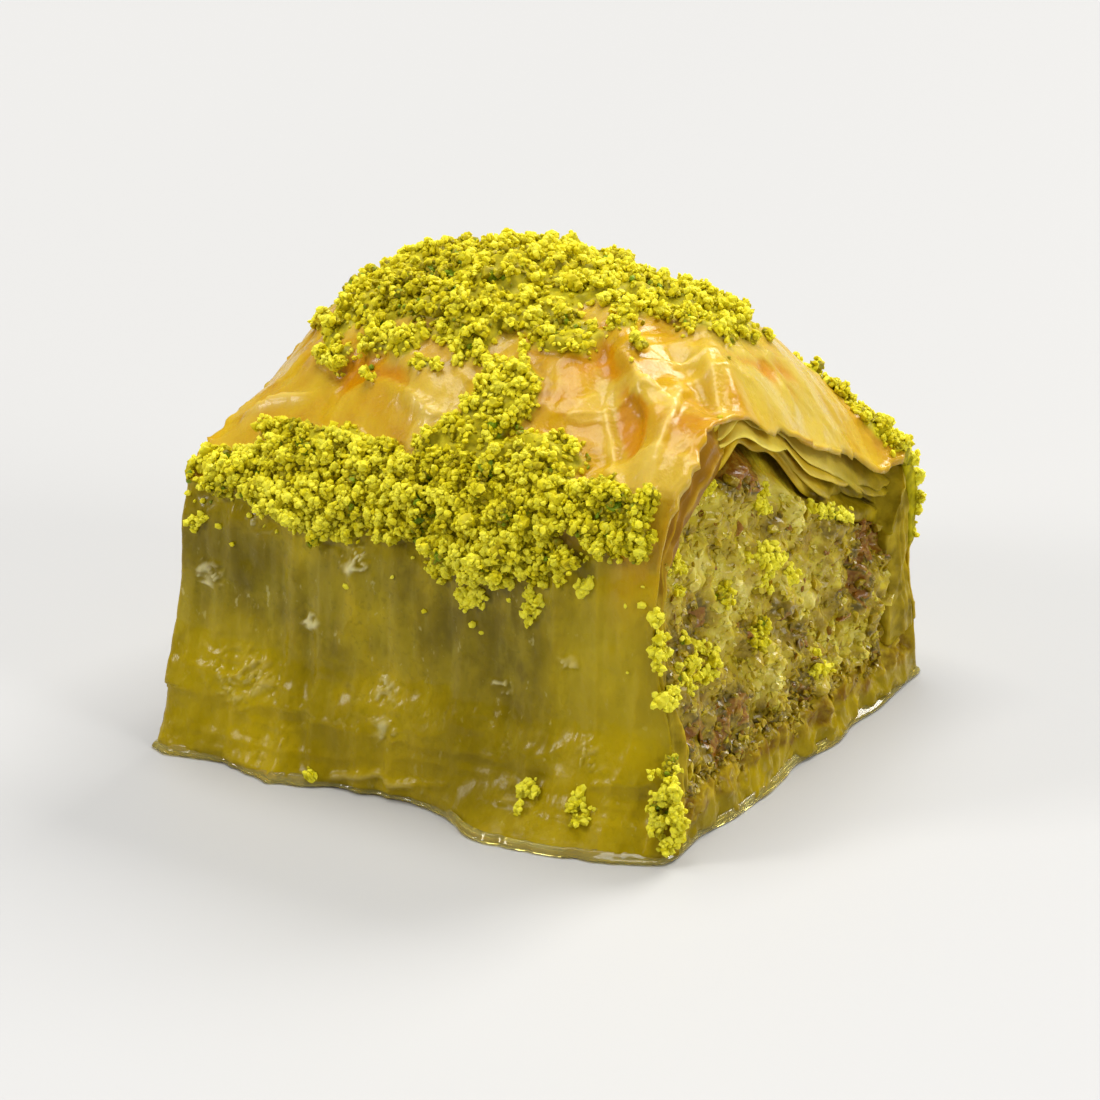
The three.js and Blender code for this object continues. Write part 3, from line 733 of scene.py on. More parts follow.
def pastry_leaf_look():
    look = Look("pastry_leaves")
    tone = look.math("MULTIPLY", look.attribute("tone"), 0.65)
    colour = look.ramp(
        look.math("ADD", tone, look.math("MULTIPLY", look.noise(2.2, 4), 0.45)),
        (0.20, (0.24, 0.11, 0.001)), (0.42, (0.44, 0.26, 0.004)), (0.64, (0.62, 0.43, 0.02)),
        (0.90, (0.76, 0.59, 0.09)),
    )
    soaked = look.ramp(look.noise(1.6, 4), (0.35, (0.2, 0.14, 0.001)), (0.65, (0.42, 0.305, 0.01)))
    look.set(
        Base_Color=look.blend(look.span(look.height(), 0.017, 0.024), soaked, colour),
        Roughness=look.span(look.noise(1.5, 3), 0.3, 0.7, 0.30, 0.50),
        Specular_IOR_Level=0.08,
        Coat_Weight=0.10,
        Coat_Roughness=0.12,
        Subsurface_Weight=0.25,
        Subsurface_Radius=(1, 0.7, 0.08),
        Subsurface_Scale=0.0008,
        Normal=look.bump(look.noise(0.4, 3), 0.08, 0.7),
    )
    return look.material


def filling_look():
    look = Look("pistachio_filling_look")
    colour = look.ramp(
        look.attribute("tone"),
        (0.00, (0.2, 0.075, 0.002)), (0.14, (0.26, 0.12, 0.008)), (0.22, (0.09, 0.065, 0.001)),
        (0.38, (0.24, 0.165, 0.003)), (0.58, (0.38, 0.275, 0.008)), (0.78, (0.52, 0.42, 0.02)),
        (1.00, (0.66, 0.57, 0.12)),
    )
    reddish = (look.noise(2.6, 4, shift=0.4), 0.58, 0.68, 0.35, (0.3, 0.145, 0.01))
    golden = (look.noise(0.5, 3), 0.45, 0.7, 0.4, (0.52, 0.38, 0.04))
    look.set(
        Base_Color=look.layered(colour, reddish, golden),
        Roughness=look.span(look.noise(0.9, 3, shift=0.6), 0.3, 0.7, 0.25, 0.6),
        Specular_IOR_Level=0.15,
        Coat_Weight=0.35,
        Coat_Roughness=0.12,
        Subsurface_Weight=0.3,
        Subsurface_Radius=(1, 0.7, 0.1),
        Subsurface_Scale=0.0008,
        Normal=look.bump(look.noise(0.4, 4), 0.16, 0.8),
    )
    return look.material


def crumb_look():
    look = Look("ground_pistachio")
    speckle = look.math("MULTIPLY", look.math("SUBTRACT", look.noise(0.5, 2), 0.5), 0.3)
    colour = look.ramp(
        look.math("ADD", look.attribute("tone"), speckle),
        (0.00, (0.17, 0.26, 0.002)), (0.09, (0.19, 0.25, 0.002)), (0.16, (0.22, 0.17, 0.001)),
        (0.36, (0.44, 0.37, 0.001)), (0.62, (0.64, 0.55, 0.003)), (0.90, (0.76, 0.69, 0.035)),
    )
    look.set(
        Base_Color=colour,
        Roughness=look.span(look.noise(0.8, 2), 0.3, 0.7, 0.45, 0.7),
        Specular_IOR_Level=0.2,
        Subsurface_Weight=0.25,
        Subsurface_Radius=(1, 0.8, 0.05),
        Subsurface_Scale=0.0005,
        Normal=look.bump(look.noise(0.22, 3), 0.06, 0.7),
    )
    return look.material


def syrup_look():
    look = Look("syrup")
    look.set(
        Base_Color=look.ramp(look.noise(3, 2), (0.3, (0.9, 0.76, 0.16)), (0.7, (0.94, 0.86, 0.34))),
        Roughness=look.span(look.noise(4, 2), 0.3, 0.7, 0.02, 0.06),
        Transmission_Weight=0.85,
        IOR=1.36,
        Normal=look.bump(look.noise(2.0, 2), 0.05, 0.4),
    )
    return look.material


# ---- upper pastry
def beneath(reach, s, depth, end):
    """A point of a leaf under the skin, pushed in where the skin has a hollow."""
    _, normal, _, fine = skin_at(reach, s)
    pushed = np.minimum(fine, 0) * (1 - np.clip(depth / SHEETS, 0, 1)) - 0.03
    p = section(reach, s, depth, end)
    p[..., 2] -= droop(p) * (1 - 0.2 * depth)
    return p + normal * pushed[..., None]


def pale_sheen_flap(x, y):
    """1 on the smooth leaf over the right cut face, whose light colour is partly its own and partly
    painted sheen.
    """
    return np.exp(-((((x - 16) / 5.2) ** 2 + ((y - 4.5) / 9) ** 2) ** 2))


SKIN = 0.22  # thickness of the skin in sheets


def upper_skin(material):
    """The outermost sheet with the bed of ground nuts on it."""
    rows, cols = 207, 329
    reach = np.linspace(-1, 1, rows)[:, None]
    s = np.linspace(0, 1, cols)[None, :]
    ragged = (0.20 * noise(s * 75, 3) + 0.35 * ridged(s * 22, 5) ** 8) * on_crown(s)
    end = (np.where(reach < 0, overhang(s, -1), overhang(s, 1)) + ragged) * np.abs(reach) ** 12
    outer, _, bed, fine = skin_at(reach, s, end=end)
    inner = beneath(reach, s, SKIN, end)
    points, faces = coarse_backed_sheet(outer, inner[::2, ::2])
    crown = np.broadcast_to(on_crown(s), bed.shape)
    x, y, z = np.moveaxis(outer, -1, 0)
    # the baked colour runs down at the near corner
    corner = 0.75 * smooth(13.5, 17.5, x) * smooth(15, 23, z) * (y < 0)
    values = {
        "nuts": bed,
        "crown": np.maximum(crown, corner),
        "height": fine,
        "loose": crown * loose_leaves(x, y),
        "pale_sheen": crown * pale_sheen_flap(x, y),
        "frayed_glint": (1 - crown) * fraying(x, z),
        "stain": (1 - crown) * soft_spots(x, z, STAINS),
    }
    values = {key: np.concatenate([v.ravel(), v[::2, ::2].ravel()]) for key, v in values.items()}
    skin = make("top_skin", [(points, faces, values)], material)
    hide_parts("top_pastry")


# Leaves at the cut ends: depth and thickness in sheets, how far they end inside the face, tone.
LEAVES = [
    (0.28, 0.18, 1.9, 0.8), (0.62, 0.16, 2.6, 0.72), (1.02, 0.18, 0.6, 0.85),
    (1.36, 0.22, 0.1, 0.75), (1.92, 0.3, 1.7, 0.45), (2.36, 0.5, 1.4, 0.25),
]


def parting(s):
    """1 where the leaves at a cut face stand apart, which is behind the ridge only."""
    return smooth(0.38, 0.47, s) * on_crown(s)


def end_leaves(material):
    """Thin leaves that show at the two cut faces, behind the rim of the skin."""
    rows, cols = 7, 180
    t = np.linspace(0, 1, rows)[:, None]
    s = np.linspace(0.3, 0.84, cols)[None, :]
    parted = parting(s)
    parts = []
    for side in (-1, 1):
        for k, (depth, thick, set_back, tone) in enumerate(LEAVES):
            seed = 40 + 3 * k + side
            reach = side * mix(0.78, 1, t)
            ragged = 0.45 * noise(s * 14, seed) + 0.16 * noise(s * 60, seed + 0.5)
            spikes = 1.2 * ridged(s * 7, seed, 2) ** 12 - 0.5 * ridged(s * 9, seed, 4) ** 8
            end = (parted * (ragged + spikes) - mix(1.2, set_back, parted)) * t**4
            flutter = t**3 * (0.20 * noise(s * 11, seed, 3) + 0.08 * noise(s * 40, seed, 5)) * parted
            rolled = 0.4 * thick * smooth(0.9, 1, t) * parted
            sunk = 0.35 * (1 - t)
            outer = beneath(reach, s, np.maximum(depth + flutter + rolled, 0.25) + sunk, end)
            low = np.minimum(depth + thick + flutter - 0.6 * rolled, SHEETS + 0.2)
            inner = beneath(reach, s, low + sunk, end)
            shade = tone + 0.30 * noise(s * 16, seed, 7) + 0.25 * smooth(0.8, 1, t)
            parts.append((*closed_sheet(outer, inner), {"tone": [shade, shade]}))
    make("top_leaves", parts, material)


# The fused ends of the leaves: how deep they go in sheets, and the reach where they begin.
FUSED_DEPTH = (0.26, 3.0)
FUSED_FROM = 0.84


def fused_ends(material):
    """The strip of soaked leaves stuck together that frames a cut face, with a rounded end."""
    along, across = 4, 22
    inwards = np.linspace(FUSED_FROM, 1, along)
    reach = np.concatenate([inwards, np.ones(across - 2), inwards[::-1]])[:, None]
    c = np.concatenate([np.zeros(along), np.linspace(0, 1, across)[1:-1], np.ones(along)])[:, None]
    s = np.linspace(0, 1, 210)[None, :]
    parts = []
    for side in (-1, 1):
        wander = 0.12 * noise(s * 9, side, 8)
        ridges = 0.26 * ridged(c * 4.5 + wander * 4, s * 3, 70 + side) ** 3
        uneven = 0.34 * noise(s * 17, c * 1.5, side * 7) + 0.16 * noise(s * 60, c * 4, side * 9)
        rounded = 0.45 * (np.sqrt(np.sin(math.pi * np.clip(c, 0, 1))) - 1)
        end = (rounded + ridges + uneven - 3.0 * parting(s)) * smooth(FUSED_FROM, 1, reach)
        depth = mix(*FUSED_DEPTH, c) + 0.3 * smooth(1, FUSED_FROM, reach) * (1 - c)
        shade = -0.09 + 0.26 * noise(s * 24, c * 3, side * 3) + 1.2 * (ridges - 0.06) + 0 * reach
        rim = beneath(side * reach, s, depth, end)
        parts.append((*ringed_strip(rim), {"tone": shade}))
    make("fused_ends", parts, material)


# ---- filling
def filling_roof(x, out, reach):
    """Top of the nuts, which sink away at the upper right of a cut face."""
    hollow = ROOF_STEP * smooth(0.75, 0.93, np.abs(reach)) * np.exp(-(((out + 0.02) / 0.32) ** 2))
    roof = crown_height(x, out, SHEETS) - ROOF_GAP + ROOF_LIFT - HOLLOW_DEPTH * hollow
    return np.maximum(roof, BASE_TOP + 1)


def face_rough(y, z, side):
    """Roughness of the nuts at a cut face."""
    rough = 0.8 * noise(y / 2.2, z / 2.2, side * 2) + 0.5 * noise(y / 0.9, z / 0.9, side * 3)
    return rough + 0.22 * noise(y / 0.45, z / 0.45, side * 5 + 9)


# Browner (below 0) and creamier parts of the right cut face, mirrored on the left one: y, z,
# radius and strength. The two creamier parts high on the right under the leaves, at y 4.5 and
# 11.5, are partly their own colour and partly painted light against the leaves' shade.
FACE_MARKS = [
    (-5.5, 26.6, 3, -0.85), (-13.3, 24.3, 2.4, -0.45), (-9.8, 6.5, 3, -0.15),
    (0.5, 10.9, 1.7, -0.45), (7, 15.5, 1.8, -0.2), (13.8, 14.9, 2.4, -0.4),
    (-8.1, 20.8, 3.5, 0.25), (3.2, 12.9, 2.2, 0.18), (4.5, 19.5, 4.2, 0.3), (7.6, 8.1, 2.6, 0.35),
    (11.5, 18.8, 2.8, 0.3),
]


def paste_tone(y, z, side):
    """Mottling of the filling's cut face, with painted light high up: dark and brown below 0.3, creamy
    above 0.8.
    """
    tone = 0.48 + 0.38 * noise(y / 2.9, z / 2.5, side * 4) + 0.24 * noise(y / 1.1, z / 1.1, side * 4 + 2)
    # lighter from 14 to 22 mm up: painted light against the shade under the overhanging pastry
    tone = tone + 0.14 * noise(y / 0.4, z / 0.4, side + 3) + 0.16 * smooth(14, 22, z)
    return tone + soft_spots(side * y, z, FACE_MARKS)


def filling_core(material):
    def place(a, b, c):
        side = np.sign(2 * a - 1)
        reach = side * (1 - (1 - np.abs(2 * a - 1)) ** 2)
        out = 2 * b - 1
        y0 = out * HALF_W

        def between(z):
            left, right = face_x(-1, y0, z) + FILLING_INSET, face_x(1, y0, z) - FILLING_INSET
            return mix(left, right, (reach + 1) / 2)

        z = mix(BASE_TOP - 0.3, filling_roof(between(SHOULDER["front_right"]), out, reach), c)
        y = out * (half_width(between(z), out, SHEETS) + 0.1)
        rough = np.where(side < 0, face_rough(y, z, -1), face_rough(y, z, 1))
        return np.stack([between(z) + side * np.abs(reach) ** 12 * rough, y, z], -1)

    points, faces = shaped_box(8, 150, 110, place)
    tone = paste_tone(points[:, 1], points[:, 2], np.sign(points[:, 0]))
    core = make("filling_core", [(points, faces, {"tone": tone})], material)
    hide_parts("pistachio_filling")


def face_roof(y, z, side):
    """Height of the filling's upper edge at a cut face."""
    return filling_roof(face_x(side, y, z), y / HALF_W, side * 1.0)


def nut_x(y, z, side):
    """Where the rough nuts of a cut face lie."""
    return face_x(side, y, z) - side * FILLING_INSET + side * face_rough(y, z, side)


def face_spots(random, side, count):
    """Random places on a cut face of the filling."""
    y = random.uniform(-18.3, 16.8, count)
    z = random.uniform(BASE_TOP + 0.2, 31, count)
    inside = z < face_roof(y, z, side) - 0.1
    y, z = y[inside], z[inside]
    return np.stack([nut_x(y, z, side), y, z], -1)


def foot_spots(random, side):
    """Random places on the foot's upper part at a cut face, where nuts are smeared over it."""
    count = OVER_FOOT["candidates"]
    y, z = random.uniform(-18, 15, count), random.uniform(2.0, BASE_TOP + 0.6, count)
    x = face_x(side, y, z) - side * random.uniform(0.35, 0.75, count)
    dense = 0.8 * nut_share(y, z - 0.8, side)
    return np.stack([x, y, z], -1)[dense > random.uniform(0, 1, count)]


# Bits of the cut faces: candidates, distance, radii, flatness, tones and detail.
FACE_BITS = [
    (600, 2, (0.4, 0.8), 0.75, (0.2, 1), 1), (9000, 0.8, (0.18, 0.45), 0.8, (0.05, 1), 0),
    (220, 2.6, (0.3, 0.6), 0.35, (0, 0.12), 1),
]
OVER_FOOT = {"candidates": 2400, "apart": 0.6, "radii": (0.2, 0.42), "flat": 0.6}
BIT_ROUGH = 0.45


def chopped_nuts(material):
    """Bits of nut, skin and paste that make up the cut faces."""
    random = np.random.default_rng(21)
    parts = []
    for side in (-1, 1):
        for count, apart, span, flat, tones, detail in FACE_BITS:
            spots = face_spots(random, side, count)
            spots = spots[thin_out(spots, apart)]
            radii = random.uniform(*span, len(spots))
            tone = 0.8 * paste_tone(spots[:, 1], spots[:, 2], side)
            shade = (tone + random.normal(0.1, 0.12, len(spots))).clip(0, 1)
            spots[:, 0] -= side * 0.6 * radii
            parts.append(lumps(random, spots, radii, mix(*tones, shade), flat, BIT_ROUGH, detail))
        spots = foot_spots(random, side)
        spots = spots[thin_out(spots, OVER_FOOT["apart"])]
        radii = random.uniform(*OVER_FOOT["radii"], len(spots))
        tone = 0.30 + 0.42 * paste_tone(spots[:, 1], spots[:, 2], side)
        shade = (tone + random.normal(0, 0.08, len(spots))).clip(0, 1)
        parts.append(lumps(random, spots, radii, shade, OVER_FOOT["flat"], BIT_ROUGH))
    make("chopped_nuts", parts, material, shade_smooth=False)


# ---- ground pistachio
def tones_at(random, points):
    """Shades of the crumbs: mostly yellow-green, greener in small patches, lighter low down as painted
    light.
    """
    x, y, z = points.T
    tone = 0.62 + 0.26 * noise(x / 3.5, y / 3.5, z / 3.5 + 31) + random.normal(0, 0.16, len(points))
    # painted light: crumbs low on the walls, below 26 mm, are lighter, against the shade that falls
    # there
    tone += 0.25 * smooth(26, 19, z)
    green = smooth(0.42, 0.62, noise(x / 1.3, y / 1.3, z / 1.3 + 47))
    return mix(tone, 0.05, green * random.uniform(0.3, 1, len(points))).clip(0, 0.98)


FINE_CRUMB = (0.14, 0.32)  # radii
FINE_APART = 0.46
# Clumps of the beds and stuck ones: radii, crumbs on each, how far from its middle these lie in
# its radii, and how much darker its core is, as painted shade between the crumbs on it.
CLUMP = {"radii": (0.3, 0.72), "crumbs": 12, "reach": (0.7, 1.2), "darker": 0.18}
STUCK_CLUMP = {"radii": (0.25, 0.6), "crumbs": 8, "reach": (0.8, 1.3), "darker": 0.12}
CLUMPS_APART = 1.3


def clumps(random, kind, centres, radii, up):
    """Cores of clumps; place, clump's tone and share of up, for painted light, of each crumb on them."""
    tones = tones_at(random, centres)
    # the core is painted darker: shade between its crumbs
    core = lumps(random, centres, 0.8 * radii, tones - kind["darker"], rough=CORE_ROUGH, detail=1)
    owner = np.repeat(np.arange(len(centres)), kind["crumbs"])
    ray = random.normal(size=(len(owner), 3)) + 0.8 * up[owner]
    ray /= np.linalg.norm(ray, axis=1, keepdims=True)
    reach = radii[owner] * random.uniform(*kind["reach"], len(owner))
    return core, centres[owner] + ray * reach[:, None], tones[owner], (ray * up[owner]).sum(1)


def crumb_parts(random, points, normals, bed, fine, count):
    """Clumps of ground nuts and fine crumbs between them."""
    tops = thin_out(points + random.uniform(0, 9, 3), CLUMPS_APART)
    tops = random.permutation(tops[bed[tops] > random.uniform(0.0, 0.3, len(tops))])[:count]
    radii = random.uniform(*CLUMP["radii"], len(tops))
    centres = points[tops] + normals[tops] * (0.5 * radii)[:, None]
    core, spots, clump_tones, up = clumps(random, CLUMP, centres, radii, normals[tops])
    radii = random.uniform(*FINE_CRUMB, len(spots))
    # painted light and shade: crumbs high on a clump are lighter, those low on it darker
    tones = mix(tones_at(random, spots), clump_tones, 0.5) + 0.26 * (up - 0.4)
    parts = [core, lumps(random, spots, radii, tones)]
    kept = random.permutation(thin_out(points, FINE_APART))[:fine]
    radii = random.uniform(*FINE_CRUMB, len(kept))
    spots = points[kept] + normals[kept] * (random.uniform(-0.2, 0.9, len(kept)) * radii)[:, None]
    # the fine crumbs between the clumps are a little darker: painted shade in the gaps
    return [*parts, lumps(random, spots, radii, tones_at(random, spots) - 0.06)]


# Crumbs on the skin: seed, candidates, where the layer lies along the section, fine crumbs, clumps.
CROWN_FROM, CROWN_TO = WALL_SHARE + 0.10, 0.9 - WALL_SHARE
CRUMB_LAYERS = {
    "crown_crumbs": (1, 60000, (CROWN_FROM, CROWN_TO), 2500, 365),
    "front_band_crumbs": (2, 44000, (WALL_SHARE - 0.10, CROWN_FROM), 2350, 275),
    "back_band_crumbs": (3, 34000, (CROWN_TO, 1.10 - WALL_SHARE), 1900, 200),
}
STRAYS, STRAYS_BELOW = 0.0006, 0.012  # shares of the candidates: anywhere, and just below a band
BANDS_TOP = 26
CORE_ROUGH = 0.45  # of a clump's core


def crumb_layer(name, material, seed, count, span, fine, clump_count):
    """Ground pistachio on part of the skin, with strays beside the beds."""
    random = np.random.default_rng(seed)
    reach, s = random.uniform(-1, 1, count), random.uniform(*span, count)
    points, normals, bed, _ = skin_at(reach, s)
    below = (pile(points + (0, 0, 1.8)) > 0.4) & (points[:, 2] < BANDS_TOP)
    kept = bed > random.uniform(0.05, 0.6, count)
    kept |= random.uniform(size=count) < STRAYS + STRAYS_BELOW * below
    parts = crumb_parts(random, points[kept], normals[kept], bed[kept], fine, clump_count)
    make(name, parts, material, shade_smooth=False)


# Clusters of clumps on the cut faces: y, z, radius and how many.
FACE_CLUSTERS = [
    (-19.6, 19.2, 0.8, 5), (-19.4, 16.2, 1.2, 11), (-19, 13.1, 1.3, 11), (-19.6, 7, 0.8, 5),
    (-15, 13, 1.8, 18), (-14.9, 20.8, 1.2, 11), (-12, 12, 1.5, 14), (-9.8, 26, 0.7, 7),
    (-8.4, 17.1, 0.8, 5), (-4.4, 12.4, 1.3, 11), (-3.9, 18.3, 1.2, 9), (-2, 22.6, 1, 9),
    (-1.5, 16.9, 1.5, 16), (1, 15.3, 1, 9), (4.1, 6.5, 0.7, 4), (7.2, 19.5, 1.3, 12),
]
# Clusters on the front wall and in front of the foot: x, z, radius and how many.
WALL_CLUSTERS = [
    (-21.6, 18.6, 0.6, 4), (0.6, 19, 0.6, 5), (3.5, 17.7, 0.9, 9), (6.6, 19.9, 0.8, 6),
    (8.6, 17.6, 0.8, 7), (9.6, 20.2, 0.7, 6), (11.2, 21.4, 0.9, 9), (13, 20.2, 0.5, 3),
]
FOOT_CLUSTERS = [(9.7, 3.4, 0.8, 9), (14.3, 3.1, 0.9, 11), (-9.6, 0.9, 0.4, 3)]
HEAP = {"at": (21.5, -21.2, 3.6), "size": (0.7, 0.55, 2.2), "clumps": 50, "top": 8.0}
NUTS_END, WALL_STARTS, FACE_TOP = 16.5, 17.0, 27.0


def scatter(random, cluster, *spread):
    """Random places in a cluster: their two coordinates."""
    *middle, radius, count = cluster
    return [at + radius * random.normal(0, wide, count) for at, wide in zip(middle, spread)]


def wall_reach(x, z):
    """How far x lies along the front wall: -1 and 1 at the cut faces."""
    low, high = face_x(-1, -HALF_W, z), face_x(1, -HALF_W, z)
    return 2 * (x - low) / (high - low) - 1


def on_face(random, side, y, z):
    """Places on a cut face: on the nuts or on the edges of the walls beside them."""
    inside = (np.abs(y) < HALF_W + 0.4) & (z > BASE_TOP + 0.4) & (z < FACE_TOP)
    y, z = y[inside], z[inside]
    z = np.where(np.abs(y) < NUTS_END, np.minimum(z, face_roof(y, z, side)), z)
    x = np.where(np.abs(y) > WALL_STARTS, face_x(side, y, z), nut_x(y, z, side))
    return np.stack([x + side * random.uniform(-0.15, 0.25, len(y)), y, z], -1)


def on_front_wall(x, z):
    """Places on the finished skin of the front wall."""
    rise = (z - BASE_TOP) / (shoulder_height(x, -HALF_W) - BASE_TOP)
    return skin_at(wall_reach(x, z), WALL_SHARE * rise.clip(0, 1))[0]


def stuck_crumbs(material):
    """Crumbs stuck to the cut faces and the front, and the heap at the foot of the near corner."""
    random = np.random.default_rng(8)
    spots = []
    for side in (-1, 1):
        for y0, z0, radius, count in FACE_CLUSTERS:
            cluster = (side * y0, z0, radius, count if side > 0 else (count + 1) // 2)
            spots.append(on_face(random, side, *scatter(random, cluster, 0.6, 0.55)))
    for cluster in WALL_CLUSTERS:
        spots.append(on_front_wall(*scatter(random, cluster, 0.6, 0.6)))
    for cluster in FOOT_CLUSTERS:
        x, z = scatter(random, cluster, 0.5, 0.5)
        spots.append(foot_ring(wall_reach(x, z), -np.ones(len(x)), np.maximum(z, 0.6)))
    heap = random.normal(size=(HEAP["clumps"], 3)).clip(-1.6, 1.6) * HEAP["size"] + HEAP["at"]
    spots.append(heap[(heap[:, 2] > 0.9) & (heap[:, 2] < HEAP["top"])])
    spots = np.concatenate(spots)
    radii = random.uniform(*STUCK_CLUMP["radii"], len(spots))
    core, around, _, _ = clumps(random, STUCK_CLUMP, spots, radii, 0 * spots)
    around = around[around[:, 2] > 0.35]
    radii = random.uniform(*FINE_CRUMB, len(around))
    parts = [core, lumps(random, around, radii, tones_at(random, around))]
    make("stuck_crumbs", parts, material, shade_smooth=False)


# ---- foot
AROUND = 700  # points around the foot


def perimeter():
    """Points around a square of half width 1 with rounded corners, evenly spaced."""
    t = np.linspace(0, 8, AROUND, endpoint=False)
    p = np.clip(np.abs((t + 1) % 8 - 4) - 2, -1, 1)
    q = np.clip(np.abs((t - 1) % 8 - 4) - 2, -1, 1)
    pull = (np.abs(p) ** 44 + np.abs(q) ** 44) ** (-1 / 44)
    return p * pull, q * pull


def circle():
    """As many points around a circle, at which noise meets itself."""
    t = np.linspace(0, 2 * math.pi, AROUND, endpoint=False)
    return np.stack([np.cos(t), np.sin(t)])


def ruffle(x, z):
    """The wavy edge of a soaked leaf that runs along the foot of a wall."""
    edge = 0.9 + 0.1 * (x + 9) + 0.35 * noise(x / 1.3, 41)
    along = smooth(-11, -8, x) * smooth(11, 7, x) * smooth(-0.5, 0.4, noise(x / 1.8, 42))
    return along * np.exp(-(((z - edge) / 0.32) ** 2))


def foot_ring(p, q, z):
    """The foot's outline at height z; at the walls it continues their finished surface."""
    side = np.where(q < 0, -1, 1)
    y0 = q * HALF_W
    run = np.clip(1 - z / BASE_TOP, 0, 1) ** 1.6
    out = mix(-0.2, FOOT_AT_FACES, run) + 0.4 * FOOT_WAVE * noise(y0 / 5, np.sign(p) * 5, 0) * run
    out = out + 0.62 * smooth(0.93, 1, np.abs(q)) * (1 - run)
    x = mix(face_x(-1, y0, z), face_x(1, y0, z), (p + 1) / 2) + np.sign(p) * np.abs(p) ** 8 * out
    lobe = LOBE * np.exp(-(((x - LOBE_X) / LOBE_RUN) ** 2)) * (q < 0)
    extra = run * (FOOT_SPREAD - FLARE + FOOT_WAVE * noise(x / 6, side * 7, 0) + lobe)
    finished = half_width(x, side, 0) + wall_relief(x, z, side) + wall_marks(x, z)
    return np.stack([x, q * (finished + extra + 0.42 * ruffle(x, z)), z + 0 * x], -1)


# The foot's skin reaches up the walls by LIP and sinks into them with its last rings.
# Each ring has its share of the way and how far outside the wall it lies.
LIP = 4.0
LIP_RINGS = [
    (0.08, 0.03), (0.16, 0.03), (0.26, 0.02), (0.36, 0.01), (0.5, -0.01), (0.65, -0.03),
    (0.8, -0.06), (1, -0.11), (1.02, -0.3),
]


def nut_share(y, z, side):
    """How far nuts are smeared over the foot at a cut face: 0 at its edge, 1 higher up."""
    return smooth(1.1, 2.6, z + 0.9 * noise(y / 2.4, z / 2.4, side * 9))


def foot_skin(material):
    """The bottom sheets: a soaked stack whose leaves show as soft ridges at the cut faces."""
    levels = 20
    p, q = perimeter()
    c, d = 9 * circle()
    at_face = smooth(0.97, 1.0, np.abs(p)) * smooth(1.0, 0.93, np.abs(q))
    at_wall = smooth(0.93, 0.99, np.abs(q))
    rings = []
    for level in np.linspace(0, 1, levels):
        ring = foot_ring(p, q, level * BASE_TOP)
        leaves = ridged(1.3 * c, 1.3 * d + 7, 3.4 * level + 0.8 * noise(2 * c, 2 * d, 40)) ** 4
        soft = 0.45 * noise(2.2 * c, 2.2 * d, 1.6 * level) + 0.20 * noise(5 * c, 5 * d, 3 * level + 9)
        sunk = 0.9 * smooth(0.7, 1, level) ** 2
        nutty = at_face * nut_share(ring[:, 1], ring[:, 2], np.sign(p))
        grain = 0.30 * noise(ring[:, 1] / 0.8, ring[:, 2] / 0.8, np.sign(p) * 3) * nutty
        ring[:, 0] += np.sign(p) * at_face * (soft + 0.35 * leaves - 0.25 - sunk + grain)
        rounded = 0.5 * smooth(0.10, 0, level)
        ring[:, :2] -= rounded * ring[:, :2] / np.linalg.norm(ring[:, :2], axis=1, keepdims=True)
        rings.append(ring)
    set_in = rings[-1][:, 0] - foot_ring(p, q, BASE_TOP)[:, 0]
    for share, offset in LIP_RINGS:
        up = LIP * share * (0.65 + 0.35 * noise(1.5 * c, 1.5 * d, 50))
        lip = foot_ring(p, q, BASE_TOP + up * at_wall)
        lip[:, 1] += np.sign(q) * offset * at_wall
        lip[:, 0] += set_in - np.sign(p) * (0.6 * at_face + 0.4 * np.abs(p) ** 8 * at_wall) * share
        rings.append(lip)
    points = np.concatenate([*rings, [[0, 0, BASE_TOP], [0, 0, 0]]])
    top, bottom = len(rings) * AROUND + np.arange(2)
    index = np.arange(AROUND)
    last = index + (len(rings) - 1) * AROUND
    caps = [np.stack([last, np.roll(last, -1), 0 * last + top], -1)]
    caps += [np.stack([np.roll(index, -1), index, 0 * index + bottom], -1)]
    faces = np.concatenate([tube(len(rings), AROUND), *caps])
    x, y, z = points.T
    smeared = np.append(np.tile(at_face, len(rings)), (0, 0)) * nut_share(y, z, np.sign(x))
    values = {
        "height": wall_marks(x, z),
        "stain": soft_spots(x, z, STAINS),
        # lighter along the ruffle: a painted glint line
        "frayed_glint": np.maximum(fraying(x, z), 0.35 * ruffle(x, z)),
        "nutty": smeared,
    }
    foot = make("foot_skin", [(points, faces, values)], material)
    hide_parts("base_pastry")


# Profile of the syrup's film outwards from the foot: share of its reach and height.
SYRUP_PROFILE = [
    (-0.4, 0.03), (-0.4, 0.8), (0, 0.62), (0.35, 0.4), (0.7, 0.3), (0.9, 0.2), (1, 0.08),
    (0.96, 0.03),
]
UNDER_FOOT = 0.985  # where the film starts, as a share of the foot's outline


def syrup_rim(material):
    """A thin film of syrup that has run out around the foot, with a raised rounded edge."""
    edge = foot_ring(*perimeter(), 0.0)[:, :2] * UNDER_FOOT
    away = edge / np.linalg.norm(edge, axis=1, keepdims=True)
    c, d = circle()
    reach = 0.55 + 0.5 * noise(3 * c + 5, 3 * d) + 0.3 * noise(9 * c, 9 * d + 7)
    reach = np.clip(reach, 0.2, None)[:, None]
    rings = [np.insert(edge + away * reach * out, 2, z, axis=1) for out, z in SYRUP_PROFILE]
    faces = tube(len(rings), AROUND, closed=True)
    make("syrup_rim", [(np.stack(rings), faces, {})], material)


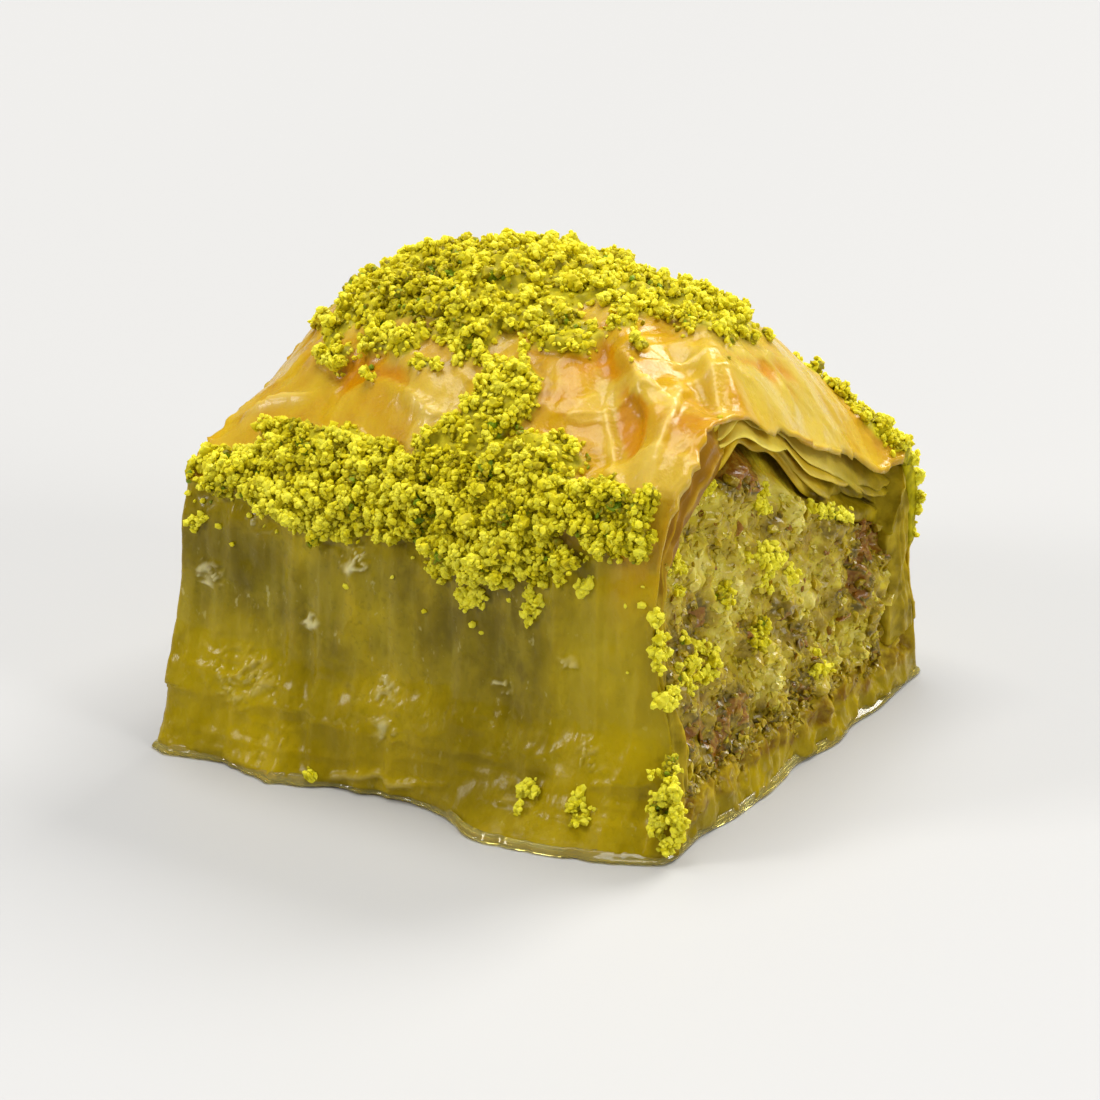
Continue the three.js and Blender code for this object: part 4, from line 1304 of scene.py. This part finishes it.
# ---- build
def build_piece():
    skin, leaf, crumb = pastry_skin_look(), pastry_leaf_look(), crumb_look()
    upper_skin(skin)
    end_leaves(leaf)
    fused_ends(leaf)
    nuts = filling_look()
    filling_core(nuts)
    chopped_nuts(nuts)
    foot_skin(skin)
    syrup_rim(syrup_look())
    for name, numbers in CRUMB_LAYERS.items():
        crumb_layer(name, crumb, *numbers)
    stuck_crumbs(crumb)


CAMERA_AT = Vector((352.3, -598.8, 290.5)) * MM
AIM_AT = Vector((2.9, -4.1, 16.0)) * MM
LENS = 311.9  # millimetres on a 36 mm sensor
LIGHTS_AIM = Vector((0, 0, 15)) * MM
FLOOR_HALF, FLOOR_DROP = 4.0, 0.0001


def look_at(obj, target):
    obj.rotation_euler = (target - obj.location).to_track_quat("-Z", "Y").to_euler()


def add_camera():
    camera = add_object("camera", bpy.data.cameras.new("camera"))
    camera.location = CAMERA_AT
    camera.data.lens = LENS
    camera.data.sensor_width = 36.0
    camera.data.clip_start = 0.01
    look_at(camera, AIM_AT)
    bpy.context.scene.camera = camera


# Soft boxes: place in metres, size in metres, power in watts and colour.
SOFT_BOXES = [
    ("back_light", (0.20, 0.90, 0.80), 0.55, 13.0, (1.0, 0.98, 0.95)),
    ("top_light", (-0.15, 0.05, 1.1), 0.7, 12.0, (1.0, 0.99, 0.97)),
    ("front_fill", (-0.75, -0.8, 0.6), 0.35, 7.0, (1.0, 0.97, 0.93)),
    ("right_fill", (1.0, -0.1, 0.5), 0.5, 6.0, (1.0, 0.98, 0.95)),
]


def add_light():
    for name, place, size, power, colour in SOFT_BOXES:
        data = bpy.data.lights.new(name, "AREA")
        data.size, data.energy, data.color = size, power, colour
        light = add_object(name, data)
        light.location = place
        look_at(light, LIGHTS_AIM)
    world = bpy.data.worlds.new("studio")
    world.use_nodes = True
    background = world.node_tree.nodes["Background"].inputs
    background["Color"].default_value = (0.93, 0.95, 1.0, 1)
    background["Strength"].default_value = 0.22
    bpy.context.scene.world = world


def add_floor():
    look = Look("floor")
    grey = look.ramp(look.noise(400, 1), (0.4, (0.44, 0.44, 0.437)), (0.6, (0.46, 0.46, 0.457)))
    look.set(Base_Color=grey, Roughness=0.5)
    mesh = bpy.data.meshes.new("floor")
    corners = [(u * FLOOR_HALF, v * FLOOR_HALF, 0) for u, v in ((-1, -1), (1, -1), (1, 1), (-1, 1))]
    mesh.from_pydata(corners, [], [(0, 1, 2, 3)])
    mesh.materials.append(look.material)
    floor = add_object("floor", mesh)
    floor.location.z = -FLOOR_DROP


build_piece()
add_camera()
add_light()
add_floor()
bpy.context.scene.view_settings.view_transform = "Standard"
